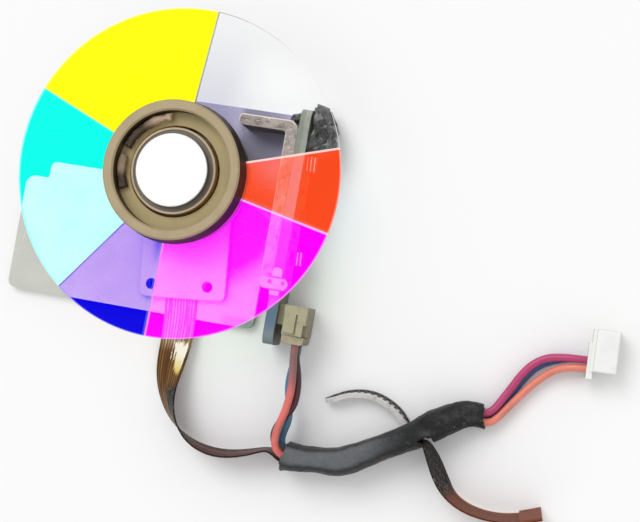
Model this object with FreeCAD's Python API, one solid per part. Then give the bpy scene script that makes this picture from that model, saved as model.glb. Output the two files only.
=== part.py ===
"""Colour wheel of a single-chip projector: six glass filters on a small outer-rotor motor,
a bracket plate that carries it, an index sensor on its own board, and the two cables.

Millimetres, +Z up. The origin is on the wheel's axis, at the back face of the bracket plate.
"""
import FreeCAD, Part

import math
import os

from FreeCAD import Vector as V

# Wheel
wheel_radius = 25.0
glass_thickness = 0.7
glass_underside = 8.0
glass_joint = 0.06
glass_bore_clearance = 0.1
filter_angles = [("clear", 17.1), ("yellow", 85.0), ("cyan", 157.3), ("blue", 232.7),
                ("magenta", 268.9), ("red", -12.5)]

# Clamp ring on the front of the glass, with its balancing channel
ring_radius = 10.5
ring_foot = 10.85
ring_height = 3.16
ring_rim = 1.6
ring_bore_gap = 0.43
ring_floor = 0.8
ring_bevel = 0.25
putty_gap = 0.12
putty_inset = 0.5
putty_arcs = [(101.0, 163.0, 1.5), (170.0, 207.0, 1.15)]

# Rotor hub
flange_radius = 10.2
flange_thickness = 0.8
boss_radius = 6.5
boss_height = 2.2
boss_lip_width = 0.3
boss_lip_height = 0.15
cap_radius = 5.5
cap_seat_height = 0.7
cap_thickness = 0.5
cup_radius = 9.6
cup_wall = 0.7
cup_bottom = 2.8
cup_roof = 6.9
mark_start = 20.0
mark_angle = 40.0
mark_margin = 0.8
mark_thickness = 0.05

# Shaft and its bearing
shaft_radius = 0.75
bearing_clearance = 0.03
bearing_radius = 2.2
bearing_bottom = 0.9
bearing_top = 6.6
thrust_radius = 2.8
thrust_thickness = 0.5
shaft_float = 0.05
shaft_relief = 0.3

# Stator and magnet
tooth_count = 9
core_hub = 4.3
air_gap = 0.3
core_thickness = 2.0
core_bottom = 3.4
tooth_width = 1.1
tooth_tip_depth = 0.5
tooth_tip_angle = 31.0
coil_wall = 0.4
coil_margin = 0.15
magnet_wall = 1.2
magnet_bottom = 3.0
magnet_height = 3.1

# Bracket plate
plate_thickness = 1.2
plate_left = -26.4
plate_bottom = -21.4
plate_top = 12.1
plate_step_right = 14.0
plate_step_y = -13.2
lobe_top = -0.75
lobe_shoulder = -3.4
lobe_shoulder_right = -22.7
lobe_corner = 1.6
lobe_step_corner = 1.0
inner_corner = 0.4
plate_corner = 1.2
spigot_clearance = 0.05
screw_clearance = 0.05

# Motor base, turned a little against the plate
motor_turn = 5.8
base_thickness = 1.2
base_radius = 9.8
pad_left = -6.4
pad_right = 7.4
pad_end = -18.8
pad_corner = 1.0
pad_bevel = 0.15
spigot_radius = 3.9
post_radius = 3.1
post_top = 6.2
post_shoulder = 0.5
fixing_spacing = 8.94
fixing_y = -16.75
fixing_radius = 0.85
flex_slot_clearance = 0.1
flex_slot_shift = 0.25
flex_slot_inset = 0.4
cut_overrun = 1.0

# Countersunk screws that hold the motor base from behind
screw_circle = 7.0
screw_head_radius = 1.45
screw_shank_radius = 0.7
screw_cone = 0.75
screw_length = 2.0

# Sensor holder: a low wall with an arm towards the hub
holder_inner = 15.0
holder_thickness = 2.0
holder_top = 6.6
holder_end = -12.7
arm_front = 8.9
arm_thickness = 1.7
arm_tip = 7.6
holder_corner = 1.8
holder_bevel = 0.2
arm_tip_corner = 0.6
peg_inset = 3.0
peg_radius = 0.7
peg_clearance = 0.03
sensor_length = 1.8
sensor_setback = 0.3
sensor_wall = 0.3
sensor_bottom = 2.6
sensor_height = 2.8
lead_size = 0.3
lead_pitch = 0.7
lead_gap = 0.05
groove_margin = 0.2

# Sensor board on edge beside the holder
board_thickness = 1.6
board_low = -23.0
board_high = 12.6
board_bottom = 0.4
board_top = 7.0
board_corner = 1.5

# Spring clip over the board's upper edge
clip_y = -13.95
clip_length = 4.2
clip_width = 1.9
clip_thickness = 0.4
clip_leg_depth = 1.6
clip_leg_gap = 0.05
clip_shift = 0.4
clip_tongue = (16.9, 18.4, -15.7, -11.5)
clip_tongue_thickness = 0.25
clip_tongue_corner = 0.7

# Parts on the board: (y, z, reach from the board, length along y, height)
board_parts = [(4.6, 4.6, 1.9, 2.4, 1.7), (-9.7, 4.2, 1.9, 2.0, 1.6), (-3.0, 2.6, 0.8, 1.6, 0.8),
               (-6.2, 5.2, 0.6, 1.0, 0.5), (0.4, 5.4, 0.6, 1.0, 0.5)]

# Black sealing compound over the sensor's joints, as stacked outlines
seal_back = 6.0
seal_outline = [(0.0, 6.1), (2.3, 6.0), (3.7, 7.2), (4.2, 9.0), (3.3, 11.7), (1.9, 13.9), (0.0, 14.2)]
seal_levels = [(0.7, 0.86), (2.2, 1.0), (4.8, 0.97), (6.5, 0.82)]
seal_lobe = (15.2, 1.5, 6.2)
seal_round = 0.45

# Board socket on its foot, and the plug in it
socket_near = 19.65
socket_far = 23.2
socket_high = -16.7
socket_depth = 4.45
socket_bottom = 0.9
socket_top = 6.9
socket_wall = 0.6
socket_edge = 0.25
foot_low = -19.8
foot_bottom = 1.6
foot_top = 5.6
socket_cuts = [(21.5, 21.8, -21.15, -17.95, 6.6), (19.6, 21.5, -21.15, -20.8, 6.6),
               (22.75, 23.3, -21.15, -19.4, 5.6), (19.6, 19.8, -21.15, -17.95, 6.6)]
plug_clearance = 0.08
plug_tail = 1.25
plug_lip = 0.5
plug_lip_height = 0.25
plug_corner = 0.5
plug_wire_x = 21.8
plug_wire_z = [5.4, 3.9, 2.4]
pin_size = 0.5
pin_length = 3.0
pin_offset = 0.6

# Cables
wire_diameter = 1.15
wire_hole_clearance = 0.07
wire_hole_depth = 0.6
wire_straight = 1.6
flex_width = 5.0
flex_thickness = 0.25
stiffener_thickness = 0.3
contact_count = 4
contact_pitch = 1.0
contact_width = 0.6
contact_thickness = 0.08

coral_route = [(22.25, -26.6, 5.45), (22.45, -29.4, 5.5), (22.1, -32.3, 5.5), (21.4, -34.8, 5.5),
               (21.15, -36.9, 5.4), (21.75, -38.5, 5.25), (23.4, -39.25, 5.1), (25.6, -38.9, 4.9),
               (27.75, -38.4, 4.75), (31.35, -37.75, 4.75), (36.7, -34.85, 4.75), (40.5, -32.55, 4.7),
               (44.45, -30.8, 4.0), (47.55, -29.15, 3.1), (49.2, -28.65, 2.5), (51.2, -28.82, 2.15),
               (52.6, -28.45, 1.8), (53.8, -27.1, 1.6), (55.0, -25.1, 1.5), (56.5, -22.8, 1.4),
               (58.3, -20.75, 1.4), (60.4, -19.1, 1.9)]
crimson_route = [(22.3, -26.6, 3.9), (22.55, -29.2, 3.9), (22.4, -31.8, 3.95), (21.5, -34.3, 3.95),
                 (21.1, -36.5, 3.9), (21.75, -38.1, 3.8), (23.35, -38.9, 3.65), (25.5, -38.8, 3.5),
                 (27.7, -38.35, 3.3), (31.35, -37.75, 3.3), (36.7, -34.85, 3.3), (40.5, -32.55, 3.25),
                 (43.95, -29.95, 3.1), (47.05, -27.85, 2.65), (49.2, -27.38, 2.5), (51.15, -27.58, 2.25),
                 (52.6, -26.6, 2.05), (53.5, -24.75, 1.95), (54.4, -22.8, 1.95), (55.4, -20.7, 2.0),
                 (56.8, -18.95, 2.1), (58.6, -17.8, 2.25), (60.6, -17.4, 2.5)]
blue_route = [(21.35, -26.4, 2.4), (21.3, -29.0, 2.4), (22.1, -31.6, 2.45), (22.5, -33.8, 2.45),
              (22.1, -35.8, 2.4), (21.95, -37.4, 2.35), (22.8, -38.65, 2.25), (24.2, -39.0, 2.15),
              (25.8, -38.75, 2.0),
              (27.7, -38.35, 1.85), (31.35, -37.75, 1.85), (36.7, -34.85, 1.85), (40.5, -32.55, 1.8),
              (44.2, -30.4, 1.6), (47.3, -28.5, 1.3), (49.2, -27.95, 1.15), (51.0, -28.1, 1.0),
              (52.35, -27.35, 0.75), (53.4, -25.8, 0.62), (54.6, -23.6, 0.6), (55.75, -21.4, 0.6),
              (57.1, -19.6, 0.6), (58.9, -18.35, 0.62), (60.8, -17.7, 0.85)]

# Flat flex: x, y, height of its lower edge, roll in degrees (0 flat, 90 on edge)
flex_route = [(1.25, -9.9, 1.2, 0), (2.2, -18.8, 1.2, 0), (2.5, -22.0, 1.2, 0), (2.6, -25.2, 1.1, 4),
              (2.35, -28.0, 0.6, 14), (2.35, -30.6, 0.35, 28), (2.8, -33.2, 0.25, 46),
              (3.9, -35.9, 0.2, 62), (5.7, -38.1, 0.2, 76), (8.0, -39.7, 0.2, 88), (11.0, -40.55, 0.2, 96),
              (14.0, -40.45, 0.2, 98), (17.0, -39.6, 0.3, 97), (18.9, -38.85, 0.4, 94),
              (20.2, -38.5, 0.5, 91), (21.2, -38.85, 0.6, 90), (22.3, -39.55, 0.62, 90),
              (23.5, -40.05, 0.65, 90), (27.93, -39.56, 0.65, 90), (31.8, -38.92, 0.65, 90),
              (37.3, -35.92, 0.62, 90), (41.1, -33.62, 0.6, 90), (42.3, -33.1, 0.55, 92),
              (43.1, -33.15, 0.45, 95), (43.8, -33.85, 0.3, 100), (45.1, -35.9, 0.2, 108),
              (46.5, -38.3, 0.2, 109), (48.1, -40.2, 0.2, 102), (50.3, -41.4, 0.2, 99),
              (53.0, -41.95, 0.2, 98), (55.7, -41.95, 0.2, 98), (58.4, -41.45, 0.2, 100),
              (60.0, -40.9, 0.2, 101), (61.5, -40.3, 0.2, 101)]
stiffened_stations = 3

# Black sleeve over the middle of the loom: x, y, heading in degrees, width, height
sleeve_wall = 0.35
sleeve_corner = 1.4
sleeve_overshoot = 0.2
sleeve_stations = [(22.75, -38.98, -8, 4.15, 6.75), (24.4, -39.05, 0, 4.0, 6.6), (27.8, -38.8, 10, 3.8, 6.4),
                   (31.5, -38.2, 20, 4.3, 6.4), (36.9, -35.2, 29, 3.8, 6.3), (40.7, -32.9, 32, 4.0, 6.3),
                   (44.2, -30.4, 32, 4.6, 5.6), (47.3, -28.5, 22, 4.1, 4.6), (49.1, -27.95, 8, 3.8, 4.0),
                   (50.7, -28.05, 10, 3.6, 3.6)]
flex_exit = (43.3, -33.2)
slit_box = (1.9, 2.4, 0.2, 5.7)
slit_turn = 32.0
tail_entry = (39.9, -31.3)
notch_box = (1.8, 1.8, 0.1, 2.3)

# Tail of the small cable tie that is wrapped into the sleeve: x, y, lean
tie_width = 2.0
tie_lift = 0.2
tie_thickness = 0.7
tie_tooth_pitch = 0.95
tie_tooth_depth = 0.25
tie_rail = 0.35
tail_route = [(27.1, -30.0, 110), (28.5, -29.35, 110), (30.1, -28.5, 111), (32.2, -27.95, 112),
              (34.3, -27.95, 113), (36.3, -28.55, 113), (38.0, -29.5, 112), (39.1, -30.45, 106),
              (39.85, -31.3, 100)]

# White connector on the far end of the loom
connector_turn = 2.0
connector_rear = (64.3, -17.15)
connector_length = 4.3
connector_height = 4.2
connector_span = (-1.6, 4.65)
flange_span = (-2.65, 2.7)
connector_flange = 0.9
connector_step = 0.6
connector_pitch = 1.25
connector_ways = 5
connector_rows = [1.25, 2.75]
connector_corner = 0.35
terminal_width = 0.6
mouth_depth = 2.2
mouth_half_height = 0.5
wire_ways = [(0, 2.75), (1, 2.75), (1, 1.25)]
bore_clearance = 0.03

glass_top = glass_underside + glass_thickness
core_radius = cup_radius - cup_wall - magnet_wall - air_gap
glass_bore = boss_radius + glass_bore_clearance
ring_bore = boss_radius + ring_bore_gap
ring_top = glass_top + ring_height
boss_top = glass_underside + boss_height
cap_seat_top = boss_top + cap_seat_height
base_top = plate_thickness + base_thickness
full_turn = 360.0
holder_outer = holder_inner + holder_thickness
board_outer = holder_outer + board_thickness
socket_low = socket_high - socket_depth
plug_end = socket_low - plug_tail
shaft_bottom = thrust_thickness + shaft_float


def save(name, shape):
    """Write one sub-part and report its solids and volume."""
    shape.exportStep("parts/%s.step" % name)
    print("%-18s solids %d volume %9.2f valid %s" % (name, len(shape.Solids), shape.Volume, shape.isValid()))


def box(x0, x1, y0, y1, z0, z1):
    return Part.makeBox(x1 - x0, y1 - y0, z1 - z0, V(x0, y0, z0))


def disc(radius, z0, z1, x=0.0, y=0.0):
    return Part.makeCylinder(radius, z1 - z0, V(x, y, z0))


def turned(profile):
    """A solid turned about the wheel's axis from (radius, height) points."""
    points = [V(r, 0, z) for r, z in profile]
    face = Part.Face(Part.makePolygon(points + points[:1]))
    return face.revolve(V(0, 0, 0), V(0, 0, 1), full_turn)


def motor_place(shape):
    """Turn a shape made square to the motor into its place on the plate."""
    placed = shape.copy()
    placed.rotate(V(0, 0, 0), V(0, 0, 1), motor_turn)
    return placed


def rounded_outline(corners, z):
    """A closed wire through (x, y, radius) corners, with tangent arcs at them."""
    edges = []
    cuts = []
    count = len(corners)
    for i in range(count):
        here = V(corners[i][0], corners[i][1], z)
        before = V(corners[i - 1][0], corners[i - 1][1], z) - here
        after = V(corners[(i + 1) % count][0], corners[(i + 1) % count][1], z) - here
        before.normalize()
        after.normalize()
        half = before.getAngle(after) / 2
        radius = corners[i][2]
        if radius == 0:
            cuts.append((here, None, here))
            continue
        reach = radius / math.tan(half)
        middle = before + after
        middle.normalize()
        inner = here + middle * (radius / math.sin(half) - radius)
        cuts.append((here + before * reach, inner, here + after * reach))
    for i in range(count):
        start, inner, end = cuts[i]
        if inner is not None:
            edges.append(Part.Arc(start, inner, end).toShape())
        following = cuts[(i + 1) % count][0]
        if (following - end).Length > 1e-6:
            edges.append(Part.makeLine(end, following))
    return Part.Wire(edges)


def rounded_plate(corners, z0, z1):
    return Part.Face(rounded_outline(corners, z0)).extrude(V(0, 0, z1 - z0))


def sector(inner, outer, start, end, z0, z1, gap=0.0):
    """A ring sector between two angles, with half a gap taken off each straight side."""
    def corner(radius, angle, side):
        turn = math.radians(angle) + side * math.asin(gap / 2 / radius)
        return V(radius * math.cos(turn), radius * math.sin(turn), z0)

    middle = math.radians((start + end) / 2)
    outer_mid = V(outer * math.cos(middle), outer * math.sin(middle), z0)
    inner_mid = V(inner * math.cos(middle), inner * math.sin(middle), z0)
    a = corner(outer, start, 1)
    b = corner(outer, end, -1)
    c = corner(inner, end, -1)
    d = corner(inner, start, 1)
    edges = [Part.Arc(a, outer_mid, b).toShape(), Part.makeLine(b, c),
             Part.Arc(c, inner_mid, d).toShape(), Part.makeLine(d, a)]
    return Part.Face(Part.Wire(edges)).extrude(V(0, 0, z1 - z0))


def tube(route, diameter, label):
    """A cord's solid: straight runs joined by tangent arcs as large as the runs allow."""
    points = [V(*p) for p in route]
    edges = []
    radii = []
    length = 0.0
    last = points[0]
    for i in range(1, len(points) - 1):
        into = points[i] - points[i - 1]
        out = points[i + 1] - points[i]
        shorter = min(into.Length, out.Length)
        turn = into.getAngle(out)
        into.normalize()
        out.normalize()
        reach = 0.45 * shorter
        radius = reach / math.tan(turn / 2)
        middle = out - into
        middle.normalize()
        start = points[i] - into * reach
        end = points[i] + out * reach
        top = points[i] + middle * (radius / math.cos(turn / 2) - radius)
        edges.append(Part.LineSegment(last, start).toShape())
        edges.append(Part.Arc(start, top, end).toShape())
        length += (start - last).Length + radius * turn
        radii.append(radius)
        last = end
    edges.append(Part.LineSegment(last, points[-1]).toShape())
    length += (points[-1] - last).Length
    path = Part.Wire(edges)
    first = points[1] - points[0]
    section = Part.Wire(Part.makeCircle(diameter / 2, points[0], first))
    solid = path.makePipeShell([section], True, True)
    expected = math.pi * diameter ** 2 / 4 * length
    print("%-18s length %.1f smallest radii %s volume/expected %.4f"
          % (label, length, ["%.1f" % r for r in sorted(radii)[:4]], solid.Volume / expected))
    return solid


def strip_frames(route):
    """Centre line place, heading and left-hand normal at each station of a strip."""
    frames = []
    for i, station in enumerate(route):
        ahead = route[min(i + 1, len(route) - 1)]
        behind = route[max(i - 1, 0)]
        heading = V(ahead[0] - behind[0], ahead[1] - behind[1], 0)
        heading.normalize()
        frames.append((station, heading, V(-heading.y, heading.x, 0)))
    return frames


def strip(stations, width, near, far, low=0.0, high=1.0):
    """A bent strip lofted through its stations, between two offsets from its middle face."""
    sections = []
    for x, y, z, roll, normal in stations:
        turn = math.radians(roll)
        across = normal * math.cos(turn) + V(0, 0, math.sin(turn))
        face = normal * -math.sin(turn) + V(0, 0, math.cos(turn))
        centre = V(x, y, z + width / 2 * math.sin(turn))
        start = (low - 0.5) * width
        end = (high - 0.5) * width
        corners = [centre + across * start + face * near, centre + across * end + face * near,
                   centre + across * end + face * far, centre + across * start + face * far]
        sections.append(Part.makePolygon(corners + corners[:1]))
    return Part.makeLoft(sections, True, True)


def filters():
    """Six flat coloured sectors, ground to meet at their straight sides."""
    for i, (colour, start) in enumerate(filter_angles):
        end = filter_angles[(i + 1) % len(filter_angles)][1]
        while end < start:
            end += full_turn
        pane = sector(glass_bore, wheel_radius, start, end, glass_underside, glass_top, glass_joint)
        save("filter_" + colour, pane)


def rotor():
    """The turned hub: boss, glass flange and the skirt that holds the magnet."""
    skirt_inner = cup_radius - cup_wall
    flange_low = glass_underside - flange_thickness
    profile = [(shaft_radius, cup_roof), (skirt_inner, cup_roof), (skirt_inner, cup_bottom),
               (cup_radius, cup_bottom), (cup_radius, flange_low), (flange_radius, flange_low),
               (flange_radius, glass_underside), (boss_radius, glass_underside),
               (boss_radius, boss_top + boss_lip_height),
               (boss_radius - boss_lip_width, boss_top + boss_lip_height),
               (boss_radius - boss_lip_width, boss_top), (cap_radius, boss_top),
               (cap_radius, cap_seat_top), (shaft_radius, cap_seat_top)]
    save("rotor_cup", turned(profile))
    magnet_outer = skirt_inner
    magnet_inner = magnet_outer - magnet_wall
    magnet_top = magnet_bottom + magnet_height
    magnet = disc(magnet_outer, magnet_bottom, magnet_top).cut(disc(magnet_inner, magnet_bottom, magnet_top))
    save("rotor_magnet", magnet)
    shaft = disc(shaft_radius, shaft_bottom, cap_seat_top)
    tip = [edge for edge in shaft.Edges if edge.BoundBox.ZMax < shaft_bottom + 0.01 and edge.Closed]
    save("shaft", shaft.makeFillet(shaft_radius * 0.6, tip))
    cap = disc(cap_radius, cap_seat_top, cap_seat_top + cap_thickness)
    rim = [edge for edge in cap.Edges if edge.Closed and edge.BoundBox.ZMin > cap_seat_top + 0.1]
    save("hub_cap", cap.makeFillet(cap_thickness * 0.4, rim))
    save("index_mark", sector(cup_radius, cup_radius + mark_thickness, mark_start, mark_start + mark_angle,
                              cup_bottom + mark_margin, flange_low - mark_margin))


def clamp_ring():
    """The ring that holds the glass down, and the putty that balances the wheel."""
    floor = glass_top + ring_floor
    rim_inner = ring_radius - ring_rim
    profile = [(ring_bore, glass_top), (ring_foot, glass_top), (ring_radius, ring_top - ring_bevel),
               (ring_radius - ring_bevel, ring_top), (rim_inner + ring_bevel, ring_top),
               (rim_inner, ring_top - ring_bevel), (rim_inner, floor), (ring_bore, floor)]
    save("clamp_ring", turned(profile))
    lumps = []
    for start, end, height in putty_arcs:
        inner = ring_bore + putty_inset
        lump = sector(inner, rim_inner - putty_gap, start, end, floor, floor + height)
        upper = [edge for edge in lump.Edges if edge.BoundBox.ZMin > floor + height / 2]
        lumps.append(lump.makeFillet(height * 0.35, upper))
    save("balance_putty", Part.makeCompound(lumps))


def screw_places():
    places = []
    for angle in (90, 210, 330):
        turn = math.radians(angle + motor_turn)
        places.append((screw_circle * math.cos(turn), screw_circle * math.sin(turn)))
    return places


def screw_solid(x, y, grow=0.0, length=screw_length):
    """A countersunk screw from the back face, grown by a clearance to cut its hole."""
    head = Part.makeCone(screw_head_radius + grow, screw_shank_radius + grow, screw_cone, V(x, y, 0))
    return head.fuse(disc(screw_shank_radius + grow, 0, length, x, y)).removeSplitter()


def fixing_places():
    places = []
    for side in (-1, 1):
        point = V(side * fixing_spacing / 2, fixing_y, 0)
        turn = math.radians(motor_turn)
        places.append((point.x * math.cos(turn) - point.y * math.sin(turn),
                       point.x * math.sin(turn) + point.y * math.cos(turn)))
    return places


def peg_places():
    across = holder_inner + holder_thickness / 2
    return [(across, holder_end + peg_inset), (across, arm_front - peg_inset)]


def bracket():
    """The flat plate: a left lobe, a round shoulder about the motor and the sensor side."""
    arc_end = math.pi + math.asin(-lobe_top / plate_top)
    hub_side = V(plate_top * math.cos(arc_end), plate_top * math.sin(arc_end), 0)
    lobe = rounded_plate([(plate_left, plate_bottom, plate_corner), (0, plate_bottom, 0),
                          (0, lobe_top, 0), (lobe_shoulder_right, lobe_top, lobe_step_corner),
                          (lobe_shoulder_right, lobe_shoulder, inner_corner),
                          (plate_left, lobe_shoulder, lobe_corner)], 0, plate_thickness)
    lower = rounded_plate([(0, plate_bottom, 0), (plate_step_right, plate_bottom, plate_corner),
                           (plate_step_right, plate_step_y, inner_corner),
                           (holder_outer, plate_step_y, inner_corner),
                           (holder_outer, plate_top, inner_corner), (0, plate_top, 0)], 0, plate_thickness)
    quarter = disc(plate_top, 0, plate_thickness)
    quarter = quarter.cut(box(0, plate_top, -plate_top, plate_top, 0, plate_thickness))
    quarter = quarter.cut(box(-plate_top, 0, -plate_top, hub_side.y, 0, plate_thickness))
    plate = lobe.fuse([lower, quarter]).removeSplitter()
    plate = plate.cut(disc(spigot_radius + spigot_clearance, 0, plate_thickness))
    for x, y in fixing_places():
        plate = plate.cut(disc(fixing_radius, 0, plate_thickness, x, y))
    for x, y in screw_places():
        plate = plate.cut(screw_solid(x, y, screw_clearance))
    for x, y in peg_places():
        plate = plate.cut(disc(peg_radius + peg_clearance, 0, plate_thickness, x, y))
    save("bracket_plate", plate)


def motor_base():
    """Base with its pad, the post for the core, and the slot that lets the flex out."""
    pad = rounded_plate([(pad_left, 0, 0), (pad_left, pad_end, pad_corner),
                         (pad_right, pad_end, pad_corner), (pad_right, 0, 0)],
                        plate_thickness, base_top)
    upper = [edge for edge in pad.Edges if edge.BoundBox.ZMin > base_top - 0.01]
    pad = pad.makeChamfer(pad_bevel, upper)
    body = pad.fuse(disc(base_radius, plate_thickness, base_top))
    body = body.fuse(disc(spigot_radius, 0, plate_thickness))
    body = body.fuse(disc(post_radius + post_shoulder, base_top, core_bottom))
    body = body.fuse(disc(post_radius, core_bottom, post_top)).removeSplitter()
    body = body.cut(disc(bearing_radius, bearing_bottom, post_top))
    body = body.cut(disc(shaft_radius + shaft_relief, thrust_thickness, bearing_bottom))
    body = body.cut(disc(thrust_radius, 0, thrust_thickness))
    for side in (-1, 1):
        body = body.cut(disc(fixing_radius, plate_thickness, base_top, side * fixing_spacing / 2, fixing_y))
    slot_half = flex_width / 2 + flex_slot_clearance
    slot_top = plate_thickness + flex_thickness + flex_slot_clearance
    body = body.cut(box(flex_slot_shift - slot_half, flex_slot_shift + slot_half,
                        pad_end - cut_overrun, flex_slot_inset - base_radius,
                        plate_thickness, slot_top))
    body = motor_place(body)
    for x, y in screw_places():
        body = body.cut(disc(screw_shank_radius, plate_thickness, screw_length, x, y))
    save("motor_base", body)
    save("thrust_plate", disc(thrust_radius, 0, thrust_thickness))
    sleeve = disc(bearing_radius, bearing_bottom, bearing_top)
    save("bearing_sleeve", sleeve.cut(disc(shaft_radius + bearing_clearance, bearing_bottom, bearing_top)))
    save("motor_screws", Part.makeCompound([screw_solid(x, y) for x, y in screw_places()]))


def stator():
    """Laminated core with its toothed arms, and one coil about each arm."""
    core_top = core_bottom + core_thickness
    core = disc(core_hub, core_bottom, core_top)
    coils = []
    coil_inner = core_hub + coil_margin
    coil_outer = core_radius - tooth_tip_depth - coil_margin
    half = tooth_width / 2
    for i in range(tooth_count):
        angle = i * 360.0 / tooth_count
        arm = box(core_hub - 0.5, core_radius - tooth_tip_depth / 2, -half, half, core_bottom, core_top)
        tip = sector(core_radius - tooth_tip_depth, core_radius, -tooth_tip_angle / 2, tooth_tip_angle / 2,
                     core_bottom, core_top)
        tooth = arm.fuse(tip)
        tooth.rotate(V(0, 0, 0), V(0, 0, 1), angle)
        core = core.fuse(tooth)
        coil = box(coil_inner, coil_outer, -half - coil_wall, half + coil_wall,
                   core_bottom - coil_wall, core_top + coil_wall)
        coil = coil.cut(box(coil_inner, coil_outer, -half, half, core_bottom, core_top))
        coil.rotate(V(0, 0, 0), V(0, 0, 1), angle)
        coils.append(coil)
    core = core.cut(disc(post_radius, core_bottom, core_top)).removeSplitter()
    save("stator_core", motor_place(core))
    save("stator_coils", motor_place(Part.makeCompound(coils)))


def sensor_holder():
    """The L-shaped wall, with a pocket for the sensor in its tip and a groove for the leads."""
    arm_back = arm_front + arm_thickness
    wall = rounded_plate([(arm_tip, arm_front, arm_tip_corner), (holder_inner, arm_front, inner_corner),
                          (holder_inner, holder_end, inner_corner), (holder_outer, holder_end, 0),
                          (holder_outer, arm_back, holder_corner), (arm_tip, arm_back, arm_tip_corner)],
                         plate_thickness, holder_top)
    upper = [edge for edge in wall.Edges if edge.BoundBox.ZMin > holder_top - 0.01]
    wall = wall.makeChamfer(holder_bevel, upper)
    for x, y in peg_places():
        wall = wall.fuse(disc(peg_radius, 0.1, plate_thickness, x, y))
    pocket_end = arm_tip + sensor_setback + sensor_length
    low = arm_front + sensor_wall
    high = arm_back - sensor_wall
    sensor_top = sensor_bottom + sensor_height
    wall = wall.cut(box(arm_tip - cut_overrun, pocket_end, low, high, sensor_bottom, sensor_top))
    groove_low = high - lead_size - groove_margin
    lead_z = [sensor_bottom + sensor_height / 2 + step * lead_pitch for step in (-1, 0, 1)]
    wall = wall.cut(box(pocket_end - 0.01, holder_outer + 0.01, groove_low, arm_back + 0.1,
                        lead_z[0] - lead_size, lead_z[-1] + lead_size))
    save("sensor_holder", wall.removeSplitter())
    body = box(arm_tip + sensor_setback, pocket_end, low, high, sensor_bottom, sensor_top)
    save("photo_sensor", body)
    lead_low = groove_low + lead_gap
    leads = [box(pocket_end, holder_outer, lead_low, lead_low + lead_size,
                 z - lead_size / 2, z + lead_size / 2) for z in lead_z]
    save("sensor_leads", Part.makeCompound(leads))


def sensor_board():
    """The board on edge, its small parts, the clip over its edge and the sealing compound."""
    outline = rounded_outline([(board_low, board_bottom, board_corner),
                               (board_high, board_bottom, board_corner),
                               (board_high, board_top, board_corner),
                               (board_low, board_top, board_corner)], 0)
    board = Part.Face(outline).extrude(V(0, 0, board_thickness))
    board.rotate(V(0, 0, 0), V(1, 0, 0), 90)
    board.rotate(V(0, 0, 0), V(0, 0, 1), 90)
    board.translate(V(holder_outer, 0, 0))
    save("sensor_board", board)
    pieces = []
    for y, z, reach, length, height in board_parts:
        piece = box(board_outer, board_outer + reach, y - length / 2, y + length / 2,
                    z - height / 2, z + height / 2)
        outer = [edge for edge in piece.Edges if edge.BoundBox.XMin > board_outer + reach - 0.01]
        pieces.append(piece.makeChamfer(0.12, outer))
    save("board_components", Part.makeCompound(pieces))


def board_clip():
    """An oval spring saddle on a tongue, with a leg on each side of the board."""
    middle = (holder_outer + board_outer) / 2 - clip_shift
    half = clip_length / 2
    round_end = clip_width / 2 - 0.01
    saddle = rounded_plate([(middle - half, clip_y - clip_width / 2, round_end),
                            (middle + half, clip_y - clip_width / 2, round_end),
                            (middle + half, clip_y + clip_width / 2, round_end),
                            (middle - half, clip_y + clip_width / 2, round_end)],
                           board_top, board_top + clip_thickness)
    leg = clip_width * 0.7 / 2
    inner = box(holder_outer - clip_leg_gap - clip_thickness, holder_outer - clip_leg_gap,
                clip_y - leg, clip_y + leg, board_top - clip_leg_depth, board_top)
    outer = box(board_outer + clip_leg_gap, board_outer + clip_leg_gap + clip_thickness,
                clip_y - leg, clip_y + leg, board_top - clip_leg_depth, board_top)
    left, right, low, high = clip_tongue
    tongue = rounded_plate([(left, low, inner_corner / 2), (right, low, inner_corner / 2),
                            (right, high, clip_tongue_corner), (left, high, clip_tongue_corner)],
                           board_top, board_top + clip_tongue_thickness)
    save("board_clip", saddle.fuse([inner, outer, tongue]).removeSplitter())


def sealing():
    """Compound poured over the joints, lofted through shrinking outlines."""
    sections = []
    for z, share in seal_levels:
        corners = []
        for reach, y in seal_outline:
            corners.append(V(board_outer + reach * share, (y - seal_back) * share + seal_back, z))
        sections.append(Part.makePolygon(corners + corners[:1]))
    lobe_left, lobe_depth, lobe_top_z = seal_lobe
    arm_back = arm_front + arm_thickness
    lobe = box(lobe_left, holder_outer, arm_back, arm_back + lobe_depth, plate_thickness, lobe_top_z)
    free = [edge for edge in lobe.Edges if edge.BoundBox.YMin > arm_back + lobe_depth - 0.01]
    lobe = lobe.makeFillet(seal_round, free)
    save("sensor_potting", Part.makeCompound([Part.makeLoft(sections, True, True), lobe]))


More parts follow.
